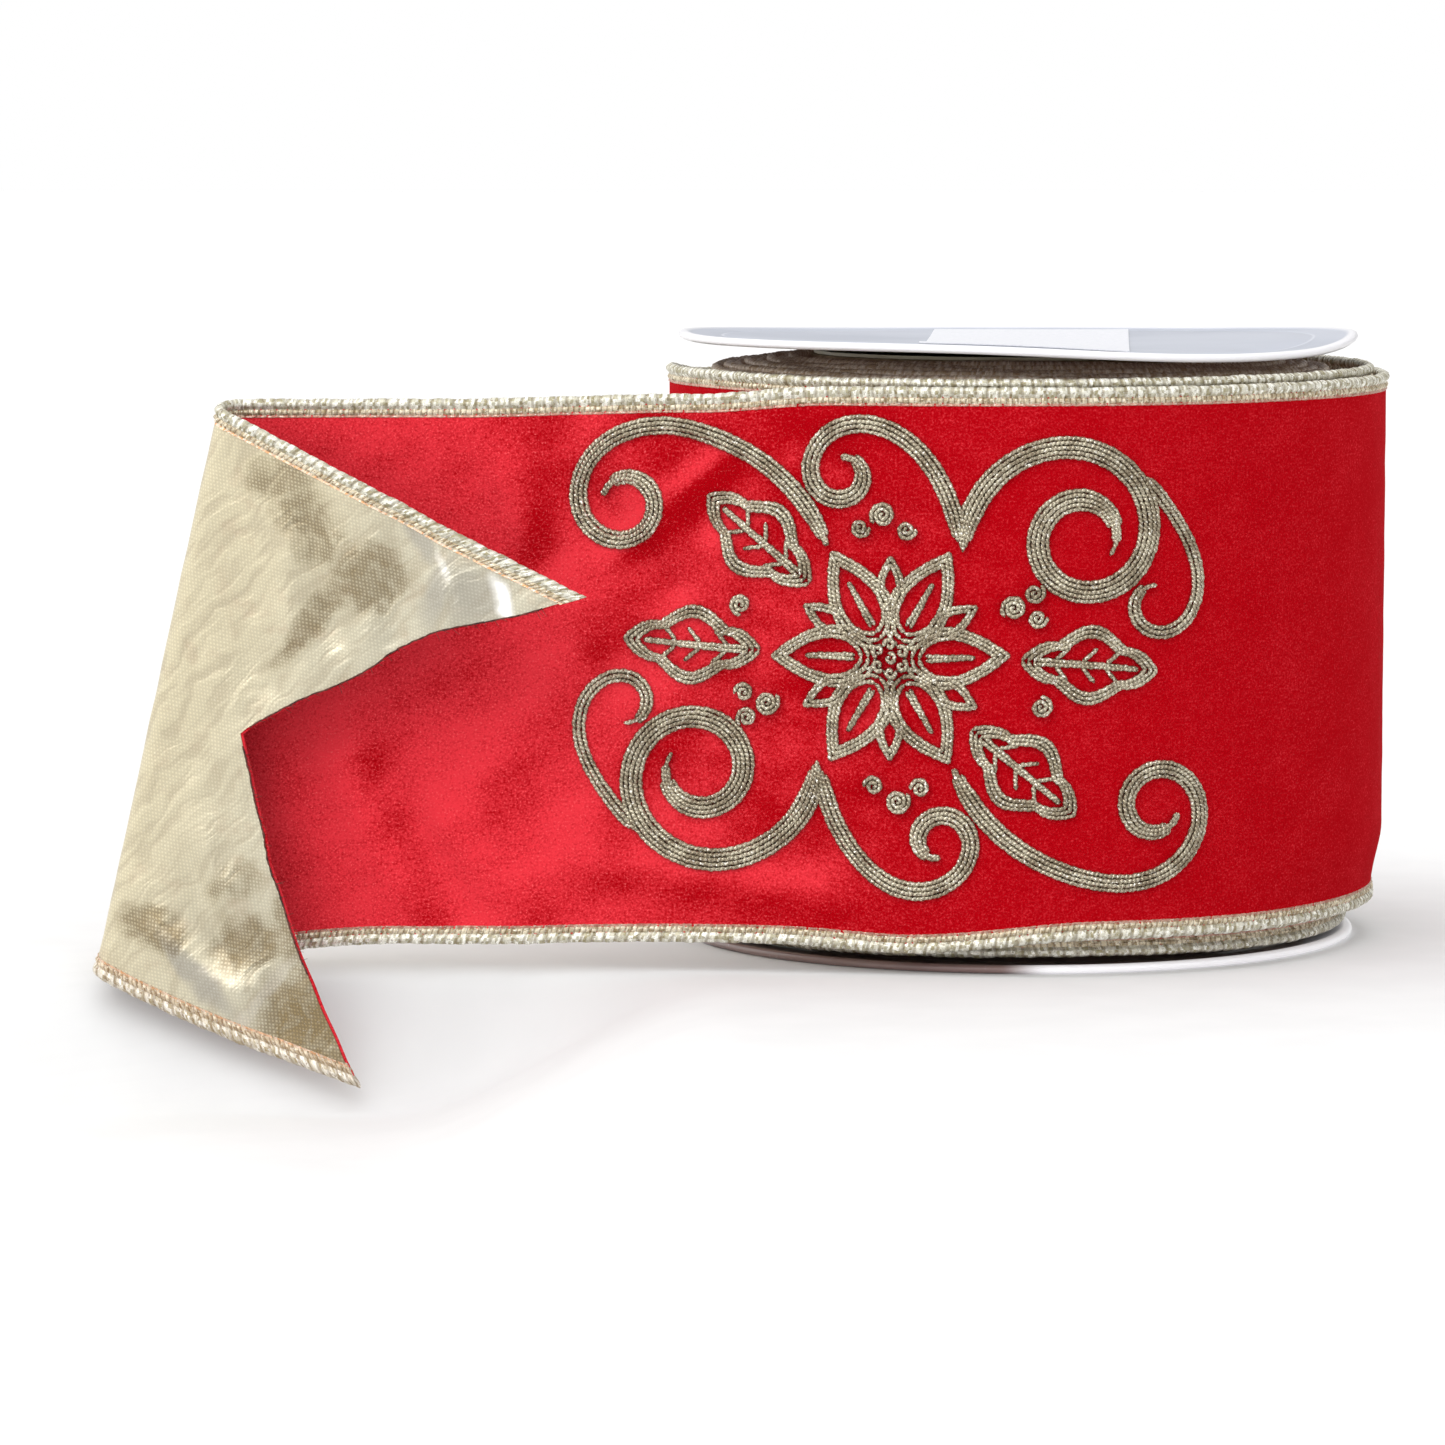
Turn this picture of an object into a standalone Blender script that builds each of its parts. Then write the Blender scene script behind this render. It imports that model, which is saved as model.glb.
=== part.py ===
"""Spool of wide, wired velvet ribbon with its end drawn out to the left and folded back.

Two card flanges are glued to the ends of a card tube. The ribbon is a velvet face and a lame back,
held together along both edges by an overlocked binding that hides a thin wire. It is wound on the
tube, and its outer turn leads into a drawn-out tail, a diagonal fold and a swallowtail end.

Frame: metres, +Z up along the spool's axis, origin at the centre of the bottom flange's underside.
The tail leaves the front (-Y) of the roll and runs towards -X.
"""

import math

import bmesh
import bpy
from mathutils import Matrix, Vector

MM = 0.001

# spool
FLANGE_RADIUS = 65.5 * MM
FLANGE_THICKNESS = 1.2 * MM
FLANGE_EDGE_ROUND = 0.35 * MM
SPOOL_HEIGHT = 114.0 * MM
CORE_RADIUS = 40.0 * MM
CORE_WALL = 3.0 * MM
GLUE_THICKNESS = 0.6 * MM
GLUE_GAP = 0.1 * MM
GLUE_MARGIN = 0.6 * MM
LABEL_WIDTH = 39.0 * MM
LABEL_LENGTH = 104.0 * MM
LABEL_CORNER = 3.0 * MM
LABEL_THICKNESS = 0.2 * MM
LABEL_GAP = 0.1 * MM
DISC_SEGMENTS = 64
TUBE_SEGMENTS = 32

# ribbon, across: w runs up from its lower edge, h runs out from its middle towards the velvet side
RIBBON_WIDTH = 101.6 * MM
VELVET_BACK = 0.05 * MM
VELVET_FACE = 0.55 * MM
LAME_BACK = -0.25 * MM
LAME_FACE = -0.05 * MM
BINDING_BACK = -0.75 * MM
BINDING_FACE = 1.05 * MM
BINDING_HEIGHT = 3.2 * MM
SLOT_BACK = -0.35 * MM
SLOT_FACE = 0.65 * MM
SLOT_FLOOR = 0.8 * MM
WEB_MARGIN = 1.7 * MM
WIRE_RADIUS = 0.25 * MM
WIRE_MARGIN = 1.25 * MM
WIRE_HEIGHT = 0.15 * MM

# ribbon wound on the core
WINDING_START_RADIUS = 42.4 * MM
WINDING_END_RADIUS = 63.6 * MM
WINDING_PITCH = 2.1 * MM
WINDING_STEPS_PER_TURN = 16
WINDING_START_ANGLE = math.radians(40.0)
WINDING_GAP = 0.3 * MM
TAPE_ARC = math.radians(34.0)
TAPE_INNER_RADIUS = 40.3 * MM
TAPE_THICKNESS = 0.25 * MM
TAPE_BOTTOM = 36.0 * MM
TAPE_TOP = 84.0 * MM

# loose outer turn, from the peel line inwards
OUTER_RADIUS = 68.5 * MM
OUTER_PITCH = 2.4 * MM
OUTER_TURNS = 1.35
OUTER_STEP = math.radians(10.0)
OUTER_LIFT = 5.5 * MM
OUTER_LIFT_PER_TURN = 1.5 * MM
FIRST_BULGE = 2.5 * MM
SECOND_BULGE = 2.0 * MM

# drawn-out tail: it touches the roll from the peel line to the parting line, then runs straight
FRONT = -math.pi / 2
PEEL_ANGLE = math.radians(-63.3)
PARTING_ANGLE = math.radians(-97.4)
STRAIGHT_LENGTH = 137.3 * MM
DROOP = 3.0 * MM
DROOP_LENGTH = 141.0 * MM
DROOP_POWER = 2.5
CORNER_DROOP = 2.5 * MM
CORNER_DROOP_START = 70.0 * MM

# diagonal fold and swallowtail end
CREASE_TILT = math.radians(12.0)
CREASE_RADIUS = 4.0 * MM
FOLD_OPENING = math.radians(12.0)
FOLD_STEPS = 8
END_LENGTH = 76.0 * MM
NOTCH_DEPTH = 46.0 * MM
SPLIT_GAP = 0.3 * MM

# embroidery on the velvet: u to the right, v up, from the motif's centre
MOTIF_ALONG = 17.3 * MM
MOTIF_UP = 53.1 * MM
STITCH_BACK = 1.05 * MM
STITCH_FACE = 1.95 * MM
PETALS = 6
PETAL_STEPS = 8
PETAL_RADIUS = 21.0 * MM
PETAL_VALLEY = 8.0 * MM
LEAF_LENGTH = 25.0 * MM
LEAF_HALF_WIDTH = 7.0 * MM
LEAF_STEPS = 12
SCROLL_LENGTH = 112.0 * MM
SCROLL_STEPS = 44
SCROLL_WIDTH = 4.2 * MM
SCROLL_TIP_WIDTH = 1.6 * MM
SCROLL_START = (13.2 * MM, 19.0 * MM)
SCROLL_HEADING = math.radians(88.0)
SCROLL_CURVATURE = 50.0
SCROLL_TIGHTENING = 118.0


# ---------------------------------------------------------------- scene, materials, objects

def clear_scene():
    for item in list(bpy.data.objects):
        bpy.data.objects.remove(item, do_unlink=True)


def make_collection(name):
    collection = bpy.data.collections.new(name)
    bpy.context.scene.collection.children.link(collection)
    return collection


def make_material(name, colour, roughness, metallic=0.0):
    material = bpy.data.materials.new(name)
    material.use_nodes = True
    shader = material.node_tree.nodes["Principled BSDF"]
    shader.inputs["Base Color"].default_value = (*colour, 1.0)
    shader.inputs["Roughness"].default_value = roughness
    shader.inputs["Metallic"].default_value = metallic
    return material


def add_object(name, data, collection, material, parent=None):
    """Links a part; its data is in world space, so a parent only says what it moves with."""
    part = bpy.data.objects.new(name, data)
    collection.objects.link(part)
    data.materials.append(material)
    if parent:
        part.parent = parent
        part.matrix_parent_inverse = parent.matrix_world.inverted()
    return part


def mesh_from(bm, name):
    bmesh.ops.recalc_face_normals(bm, faces=bm.faces)
    if bm.calc_volume(signed=True) < 0:
        bmesh.ops.reverse_faces(bm, faces=bm.faces)
    mesh = bpy.data.meshes.new(name)
    bm.to_mesh(mesh)
    bm.free()
    return mesh


def smooth_round(mesh):
    mesh.shade_smooth()
    mesh.set_sharp_from_angle(angle=math.radians(35.0))


def add_axis(name, location, direction, collection, parent=None):
    """An empty on a joint's axis, with its Z along the axis."""
    axis = bpy.data.objects.new(name, None)
    collection.objects.link(axis)
    turn = Vector((0, 0, 1)).rotation_difference(direction).to_matrix().to_4x4()
    if parent:
        axis.parent = parent
        axis.matrix_parent_inverse = parent.matrix_world.inverted()
    axis.matrix_world = Matrix.Translation(location) @ turn
    axis.empty_display_size = 0.02
    bpy.context.view_layer.update()
    return axis


# ---------------------------------------------------------------- the ribbon's path

def smooth(x):
    x = min(max(x, 0.0), 1.0)
    return x * x * (3 - 2 * x)


def roll_radius(angle):
    """Radius of the loose outer turn at an angle from the front, both counted towards +X."""
    turns = (angle - FRONT) / math.tau
    bulge = FIRST_BULGE if turns < 0.75 else SECOND_BULGE
    rightness = max(math.cos(angle), 0.0)
    return OUTER_RADIUS - OUTER_PITCH * turns + bulge * rightness ** 2


def roll_frame(angle):
    """Point and outward direction in plan on the outer turn."""
    step = 1e-3
    radius = roll_radius(angle)
    point = Vector((radius * math.cos(angle), radius * math.sin(angle), 0))
    ahead = roll_radius(angle + step)
    behind = roll_radius(angle - step)
    tangent = Vector((
        ahead * math.cos(angle + step) - behind * math.cos(angle - step),
        ahead * math.sin(angle + step) - behind * math.sin(angle - step),
        0,
    )).normalized()
    return point, tangent.cross(Vector((0, 0, 1)))


PARTING_POINT, PARTING_OUT = roll_frame(PARTING_ANGLE)
TAIL_DIRECTION = PARTING_OUT.cross(Vector((0, 0, 1)))
UP = Vector((0, 0, 1))
CREASE_ACROSS = math.cos(CREASE_TILT) * TAIL_DIRECTION + math.sin(CREASE_TILT) * UP
CREASE_ALONG = -math.sin(CREASE_TILT) * TAIL_DIRECTION + math.cos(CREASE_TILT) * UP
CREASE_TOP = PARTING_POINT + STRAIGHT_LENGTH * TAIL_DIRECTION + (OUTER_LIFT + RIBBON_WIDTH) * UP
FOLD_ANGLE = math.pi - FOLD_OPENING
FOLD_LENGTH = FOLD_ANGLE * CREASE_RADIUS
PEEL_ALONG = -(PEEL_ANGLE - PARTING_ANGLE) * OUTER_RADIUS
TIP_ALONG = STRAIGHT_LENGTH + math.pi * CREASE_RADIUS / math.cos(CREASE_TILT) + END_LENGTH


def drooped(point):
    """The free tail sinks under its weight, most at its far lower corner."""
    reach = PARTING_POINT.x - point.x
    if reach <= 0:
        return point
    sink = DROOP * (reach / DROOP_LENGTH) ** DROOP_POWER
    far = smooth((reach - CORNER_DROOP_START) / (DROOP_LENGTH - CORNER_DROOP_START))
    low = 1 - smooth(point.z / RIBBON_WIDTH)
    return point - Vector((0, 0, sink + CORNER_DROOP * far * low))


def ribbon_point(along, w, h):
    """World place of a ribbon point: along grows from the parting line towards the cut end."""
    if along < 0:
        angle = PARTING_ANGLE - along / OUTER_RADIUS
        point, out = roll_frame(angle)
        lift = OUTER_LIFT + OUTER_LIFT_PER_TURN * max((angle - PEEL_ANGLE) / math.tau, 0.0)
        return point + out * h + UP * (lift + w)
    across = (along - STRAIGHT_LENGTH) * math.cos(CREASE_TILT)
    across += (w - RIBBON_WIDTH) * math.sin(CREASE_TILT)
    down = -(along - STRAIGHT_LENGTH) * math.sin(CREASE_TILT)
    down += (w - RIBBON_WIDTH) * math.cos(CREASE_TILT)
    turn = min(max(across / CREASE_RADIUS, 0.0), FOLD_ANGLE)
    straight = across if across < 0 else max(across - FOLD_LENGTH, 0.0)
    heading = math.cos(turn) * CREASE_ACROSS + math.sin(turn) * PARTING_OUT
    normal = math.cos(turn) * PARTING_OUT - math.sin(turn) * CREASE_ACROSS
    centre = CREASE_TOP + CREASE_RADIUS * PARTING_OUT
    point = centre - CREASE_RADIUS * normal + straight * heading + down * CREASE_ALONG
    return drooped(point + normal * h)


def winding_lift(radius):
    """Height of a winding's lower edge: the inner turns ride high, the outermost have slipped low."""
    depth = max((69.0 * MM - radius) / (27.0 * MM), 0.0)
    slip = math.exp(-(((radius - 62.5 * MM) / (2.0 * MM)) ** 2))
    return OUTER_LIFT + 5.0 * MM * depth ** 0.6 - 5.2 * MM * slip


def winding_point(turns, w, h):
    """World place of a point on the ribbon wound on the core."""
    radius = WINDING_START_RADIUS + WINDING_PITCH * turns
    angle = WINDING_START_ANGLE + math.tau * turns
    out = Vector((math.cos(angle), math.sin(angle), 0))
    return out * (radius + h) + UP * (winding_lift(radius) + w)


# ---------------------------------------------------------------- cross-sections and sweeps

def web_section(back, face, cells=1, margin=WEB_MARGIN):
    """Closed outline (h, w) of a flat layer between the two bindings."""
    low = margin
    high = RIBBON_WIDTH - margin
    rise = [low + (high - low) * i / cells for i in range(cells + 1)]
    return [(back, w) for w in rise] + [(face, w) for w in reversed(rise)]


def binding_section(upper):
    """Channel that wraps one edge of the web, open towards the middle of the ribbon."""
    outline = [
        (BINDING_BACK, BINDING_HEIGHT),
        (SLOT_BACK, BINDING_HEIGHT),
        (SLOT_BACK, SLOT_FLOOR),
        (SLOT_FACE, SLOT_FLOOR),
        (SLOT_FACE, BINDING_HEIGHT),
        (BINDING_FACE, BINDING_HEIGHT),
        (BINDING_FACE, 0.0),
        (BINDING_BACK, 0.0),
    ]
    return [(h, RIBBON_WIDTH - w if upper else w) for h, w in outline]


def wire_section(upper):
    middle = RIBBON_WIDTH - WIRE_MARGIN if upper else WIRE_MARGIN
    corners = [math.tau * i / 4 for i in range(4)]
    return [
        (WIRE_HEIGHT + WIRE_RADIUS * math.cos(c), middle + WIRE_RADIUS * math.sin(c)) for c in corners
    ]


def plain_edge_section(upper):
    """Solid binding of the wound ribbon, standing on the edge of its web."""
    span = (RIBBON_WIDTH - BINDING_HEIGHT, RIBBON_WIDTH) if upper else (0.0, BINDING_HEIGHT)
    return [
        (BINDING_BACK, span[0]),
        (BINDING_FACE, span[0]),
        (BINDING_FACE, span[1]),
        (BINDING_BACK, span[1]),
    ]


def sweep(name, section, stations, place):
    """Extrudes a section along stations. A station gives the distance along for each w."""
    bm = bmesh.new()
    h_layer = bm.verts.layers.float.new("h")
    w_layer = bm.verts.layers.float.new("w")
    ring = []
    for h, w in section:
        corner = bm.verts.new(place(stations[0](w), w, h))
        corner[h_layer] = h
        corner[w_layer] = w
        ring.append(corner)
    face = bm.faces.new(ring)
    start_cap = face
    for station in stations[1:]:
        grown = bmesh.ops.extrude_face_region(bm, geom=[face], use_keep_orig=True)["geom"]
        if face is not start_cap:
            bm.faces.remove(face)
        for item in grown:
            if isinstance(item, bmesh.types.BMVert):
                item.co = place(station(item[w_layer]), item[w_layer], item[h_layer])
        face = next(item for item in grown if isinstance(item, bmesh.types.BMFace))
    return mesh_from(bm, name)


def square(along):
    return lambda w: along


def beside_crease(distance):
    """A line parallel to the crease, this far past where the bend starts."""
    def along(w):
        slant = (RIBBON_WIDTH - w) * math.tan(CREASE_TILT)
        return STRAIGHT_LENGTH + distance / math.cos(CREASE_TILT) + slant
    return along


def swallowtail(w):
    """The cut end: both edges reach the tips and the middle of the ribbon is notched."""
    half = RIBBON_WIDTH / 2
    return TIP_ALONG - NOTCH_DEPTH * (1 - abs(w - half) / half)


def between(first, last, steps):
    """Stations from one line across the ribbon to another."""
    def mixed(t):
        return lambda w: first(w) * (1 - t) + last(w) * t
    return [mixed(i / steps) for i in range(steps + 1)]


def outer_stations():
    count = round(OUTER_TURNS * math.tau / OUTER_STEP)
    start = PEEL_ALONG - SPLIT_GAP / 2
    return [square(start - i * OUTER_STEP * OUTER_RADIUS) for i in range(count + 1)]


def tail_stations():
    start = square(PEEL_ALONG + SPLIT_GAP / 2)
    arc = between(start, square(0.0), 4)
    straight = between(square(0.0), beside_crease(-SPLIT_GAP / 2), 8)
    return arc + straight[1:]


def fold_stations():
    return between(beside_crease(SPLIT_GAP / 2), beside_crease(FOLD_LENGTH - SPLIT_GAP / 2), FOLD_STEPS)


def end_stations():
    return between(beside_crease(FOLD_LENGTH + SPLIT_GAP / 2), swallowtail, 6)


def winding_stations():
    turns = (WINDING_END_RADIUS - WINDING_START_RADIUS) / WINDING_PITCH
    count = round(turns * WINDING_STEPS_PER_TURN)
    return [square(i / WINDING_STEPS_PER_TURN) for i in range(count + 1)]


# ---------------------------------------------------------------- spool parts

def make_flange(name, bottom, collection, material):
    bpy.ops.mesh.primitive_cylinder_add(
        vertices=DISC_SEGMENTS,
        radius=FLANGE_RADIUS,
        depth=FLANGE_THICKNESS,
        location=(0, 0, bottom + FLANGE_THICKNESS / 2),
    )
    flange = bpy.context.active_object
    flange.name = name
    flange.data.name = name
    for old in flange.users_collection:
        old.objects.unlink(flange)
    collection.objects.link(flange)
    flange.data.materials.append(material)
    smooth_round(flange.data)
    bevel = flange.modifiers.new("edge round", "BEVEL")
    bevel.width = FLANGE_EDGE_ROUND
    bevel.segments = 1
    bevel.limit_method = "ANGLE"
    bevel.angle_limit = math.radians(60.0)
    return flange


def make_ring(name, inner, outer, bottom, top, collection, material):
    """A turned ring: its profile runs down the outer side and is closed along the bore."""
    corners = [(outer, top), (outer, bottom), (inner, bottom), (inner, top)]
    bm = bmesh.new()
    profile = [bm.verts.new((radius, 0, z)) for radius, z in corners]
    for first, second in zip(profile, profile[1:] + profile[:1]):
        bm.edges.new((first, second))
    mesh = bpy.data.meshes.new(name)
    bm.to_mesh(mesh)
    bm.free()
    ring = add_object(name, mesh, collection, material)
    screw = ring.modifiers.new("turned", "SCREW")
    screw.steps = TUBE_SEGMENTS
    screw.render_steps = TUBE_SEGMENTS
    screw.use_merge_vertices = True
    screw.merge_threshold = 0.00001
    return ring


def make_label(collection, material):
    """Blank paper label stuck across the top flange, with rounded corners."""
    outline = []
    reach_x = LABEL_WIDTH / 2 - LABEL_CORNER
    reach_y = LABEL_LENGTH / 2 - LABEL_CORNER
    for quarter in range(4):
        side_x = 1 if quarter in (0, 3) else -1
        side_y = 1 if quarter in (0, 1) else -1
        for step in range(4):
            angle = (quarter + step / 3) * math.pi / 2
            x = side_x * reach_x + LABEL_CORNER * math.cos(angle)
            y = side_y * reach_y + LABEL_CORNER * math.sin(angle)
            outline.append((x, y))
    curve = bpy.data.curves.new("label", "CURVE")
    curve.dimensions = "2D"
    curve.fill_mode = "BOTH"
    curve.extrude = LABEL_THICKNESS / 2
    spline = curve.splines.new("POLY")
    spline.points.add(len(outline) - 1)
    for point, (x, y) in zip(spline.points, outline):
        point.co = (x, y, 0, 1)
    spline.use_cyclic_u = True
    label = add_object("label", curve, collection, material)
    label.location = (0, 0, SPOOL_HEIGHT + LABEL_GAP + LABEL_THICKNESS / 2)


def make_spool(collection, materials):
    make_flange("bottom_flange", 0.0, collection, materials["card"])
    make_flange("top_flange", SPOOL_HEIGHT - FLANGE_THICKNESS, collection, materials["card"])
    low = FLANGE_THICKNESS + GLUE_GAP
    high = SPOOL_HEIGHT - low
    bore = CORE_RADIUS - CORE_WALL
    for name, bottom in (("lower_glue_ring", low), ("upper_glue_ring", high - GLUE_THICKNESS)):
        make_ring(
            name, bore + GLUE_MARGIN, CORE_RADIUS - GLUE_MARGIN, bottom, bottom + GLUE_THICKNESS,
            collection, materials["glue"],
        )
    tube_low = low + GLUE_THICKNESS + GLUE_GAP
    make_ring(
        "core_tube", bore, CORE_RADIUS, tube_low, SPOOL_HEIGHT - tube_low, collection, materials["kraft"]
    )
    make_label(collection, materials["paper"])

    def tape_point(angle, w, h):
        out = Vector((math.cos(angle), math.sin(angle), 0))
        return out * (TAPE_INNER_RADIUS + h) + UP * w

    section = [(0.0, TAPE_BOTTOM), (TAPE_THICKNESS, TAPE_BOTTOM), (TAPE_THICKNESS, TAPE_TOP), (0.0, TAPE_TOP)]
    first = square(WINDING_START_ANGLE - TAPE_ARC / 2)
    last = square(WINDING_START_ANGLE + TAPE_ARC / 2)
    tape = sweep("core_tape", section, between(first, last, 6), tape_point)
    add_object("core_tape", tape, collection, materials["tape"])


# ---------------------------------------------------------------- ribbon parts

def add_strip(name, section, stations, place, collection, material, parent=None):
    mesh = sweep(name, section, stations, place)
    smooth_round(mesh)
    add_object(name, mesh, collection, material, parent)


def make_windings(collection, materials):
    stations = winding_stations()
    margin = BINDING_HEIGHT + WINDING_GAP
    layers = {
        "inner_velvet": (web_section(VELVET_BACK, VELVET_FACE, 1, margin), "velvet"),
        "inner_lame": (web_section(LAME_BACK, LAME_FACE, 1, margin), "lame"),
        "inner_upper_binding": (plain_edge_section(True), "binding"),
        "inner_lower_binding": (plain_edge_section(False), "binding"),
    }
    for name, (section, slot) in layers.items():
        add_strip(name, section, stations, winding_point, collection, materials[slot])


def make_stretch(prefix, stations, cells, collection, materials, parent):
    """One stretch of the loose ribbon: velvet, lame, and a wired binding on each edge."""
    layers = {
        "velvet": (web_section(VELVET_BACK, VELVET_FACE, cells), "velvet"),
        "lame": (web_section(LAME_BACK, LAME_FACE, cells), "lame"),
        "upper_binding": (binding_section(True), "binding"),
        "lower_binding": (binding_section(False), "binding"),
        "upper_wire": (wire_section(True), "wire"),
        "lower_wire": (wire_section(False), "wire"),
    }
    for layer, (section, slot) in layers.items():
        name = f"{prefix}_{layer}"
        add_strip(name, section, stations, ribbon_point, collection, materials[slot], parent)


# ---------------------------------------------------------------- embroidery

def stitch_point(u, v, h):
    return ribbon_point(MOTIF_ALONG - u, MOTIF_UP + v, h)


def make_stitching(name, outline, collection, material, parent):
    """Raised embroidery: a flat outline, extruded and then laid on the curved velvet."""
    bm = bmesh.new()
    flat = bm.faces.new([bm.verts.new((u, v, STITCH_BACK)) for u, v in outline])
    grown = bmesh.ops.extrude_face_region(bm, geom=[flat])["geom"]
    for item in grown:
        if isinstance(item, bmesh.types.BMVert):
            item.co.z = STITCH_FACE
    bmesh.ops.triangulate(bm, faces=[face for face in bm.faces if len(face.verts) > 4])
    for vert in bm.verts:
        vert.co = stitch_point(*vert.co)
    add_object(name, mesh_from(bm, name), collection, material, parent)


def flower_outline():
    """Six pointed petals."""
    outline = []
    count = PETALS * PETAL_STEPS
    for i in range(count):
        angle = math.tau * i / count
        point = (1 - abs(math.sin(PETALS * angle / 2))) ** 1.2
        radius = PETAL_VALLEY + (PETAL_RADIUS - PETAL_VALLEY) * point
        outline.append((radius * math.cos(angle), radius * math.sin(angle)))
    return outline


def leaf_outline(u, v, heading):
    """A holly leaf from its stem at (u, v), with scalloped, pointed sides."""
    sides = {1: [], -1: []}
    for i in range(1, LEAF_STEPS):
        t = i / LEAF_STEPS
        spine = 0.66 + 0.34 * abs(math.cos(math.pi * 2 * t))
        half = LEAF_HALF_WIDTH * math.sin(math.pi * t) ** 0.8 * spine
        for side in sides:
            sides[side].append((t * LEAF_LENGTH, side * half))
    local = [(0.0, 0.0)] + sides[-1] + [(LEAF_LENGTH, 0.0)] + list(reversed(sides[1]))
    cos, sin = math.cos(heading), math.sin(heading)
    return [(u + x * cos - y * sin, v + x * sin + y * cos) for x, y in local]


def scroll_outline(side):
    """A tapering scroll that winds into a spiral; side -1 is the other one, turned half round."""
    u, v = SCROLL_START
    heading = SCROLL_HEADING
    step = SCROLL_LENGTH / SCROLL_STEPS
    left, right = [], []
    for i in range(SCROLL_STEPS + 1):
        t = i / SCROLL_STEPS
        half = (SCROLL_WIDTH * (1 - t) + SCROLL_TIP_WIDTH * t) / 2
        across = (-math.sin(heading) * half, math.cos(heading) * half)
        left.append((side * (u + across[0]), side * (v + across[1])))
        right.append((side * (u - across[0]), side * (v - across[1])))
        heading -= (SCROLL_CURVATURE + SCROLL_TIGHTENING * t ** 2) * step
        u += math.cos(heading) * step
        v += math.sin(heading) * step
    return right + list(reversed(left))


def make_embroidery(collection, material, parent):
    make_stitching("embroidered_flower", flower_outline(), collection, material, parent)
    make_stitching("embroidered_right_scroll", scroll_outline(1), collection, material, parent)
    make_stitching("embroidered_left_scroll", scroll_outline(-1), collection, material, parent)
    leaves = {
        "embroidered_right_leaf": (24.0 * MM, -1.0 * MM, math.radians(-6.0)),
        "embroidered_lower_right_leaf": (15.0 * MM, -13.0 * MM, math.radians(-42.0)),
        "embroidered_left_leaf": (-24.0 * MM, 1.0 * MM, math.radians(174.0)),
        "embroidered_upper_left_leaf": (-15.0 * MM, 13.0 * MM, math.radians(138.0)),
    }
    for name, stem in leaves.items():
        make_stitching(name, leaf_outline(*stem), collection, material, parent)


# ---------------------------------------------------------------- assembly

def main():
    clear_scene()
    parts = make_collection("ribbon_spool")
    axes = make_collection("joint_axes")
    materials = {
        "card": make_material("white card", (0.86, 0.87, 0.90), 0.45),
        "paper": make_material("label paper", (0.90, 0.90, 0.92), 0.35),
        "kraft": make_material("kraft board", (0.45, 0.31, 0.18), 0.85),
        "glue": make_material("hot glue", (0.80, 0.72, 0.50), 0.40),
        "tape": make_material("clear tape", (0.80, 0.76, 0.62), 0.25),
        "velvet": make_material("red velvet", (0.55, 0.01, 0.02), 0.80),
        "lame": make_material("gold lame", (0.72, 0.62, 0.42), 0.35, 0.9),
        "binding": make_material("metallic overlock", (0.60, 0.50, 0.33), 0.45, 0.7),
        "wire": make_material("edge wire", (0.70, 0.68, 0.62), 0.35, 1.0),
        "stitching": make_material("gold embroidery", (0.40, 0.28, 0.16), 0.45, 0.7),
    }
    make_spool(parts, materials)
    make_windings(parts, materials)

    payout = add_axis("ribbon_payout_axis", Vector((0, 0, 0)), UP, axes)
    peel_middle = ribbon_point(PEEL_ALONG, RIBBON_WIDTH / 2, BINDING_FACE)
    peel = add_axis("tail_peel_axis", peel_middle, UP, axes, payout)
    bend_middle = beside_crease(0.0)(RIBBON_WIDTH / 2)
    fold_middle = ribbon_point(bend_middle, RIBBON_WIDTH / 2, CREASE_RADIUS)
    fold = add_axis("end_fold_axis", fold_middle, -CREASE_ALONG, axes, peel)

    make_stretch("outer", outer_stations(), 1, parts, materials, payout)
    make_stretch("tail", tail_stations(), 4, parts, materials, peel)
    make_embroidery(parts, materials["stitching"], peel)
    make_stretch("fold", fold_stations(), 1, parts, materials, peel)
    make_stretch("end", end_stations(), 8, parts, materials, fold)


main()
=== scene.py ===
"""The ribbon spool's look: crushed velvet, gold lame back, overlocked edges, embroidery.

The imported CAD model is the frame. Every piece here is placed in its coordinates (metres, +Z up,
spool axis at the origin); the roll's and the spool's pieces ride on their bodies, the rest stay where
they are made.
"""

import math

import bmesh
import bpy
import numpy as np
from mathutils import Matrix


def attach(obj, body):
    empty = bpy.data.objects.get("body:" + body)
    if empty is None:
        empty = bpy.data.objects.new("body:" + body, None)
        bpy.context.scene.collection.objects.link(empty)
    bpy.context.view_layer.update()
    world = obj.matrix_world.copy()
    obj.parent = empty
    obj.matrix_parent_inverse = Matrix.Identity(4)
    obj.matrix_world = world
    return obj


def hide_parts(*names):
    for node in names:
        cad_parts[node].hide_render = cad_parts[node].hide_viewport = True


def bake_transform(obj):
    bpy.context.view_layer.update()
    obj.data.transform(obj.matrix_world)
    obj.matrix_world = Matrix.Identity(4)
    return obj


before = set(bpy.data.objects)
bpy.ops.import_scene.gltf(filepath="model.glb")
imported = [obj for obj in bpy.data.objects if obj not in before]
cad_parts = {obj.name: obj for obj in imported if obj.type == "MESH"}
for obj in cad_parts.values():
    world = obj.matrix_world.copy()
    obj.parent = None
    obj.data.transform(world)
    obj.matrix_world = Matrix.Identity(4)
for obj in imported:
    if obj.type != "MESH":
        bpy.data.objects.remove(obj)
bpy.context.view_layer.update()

MM = 0.001
TAU = math.tau

# ---- driving dimensions, as in the CAD

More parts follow.
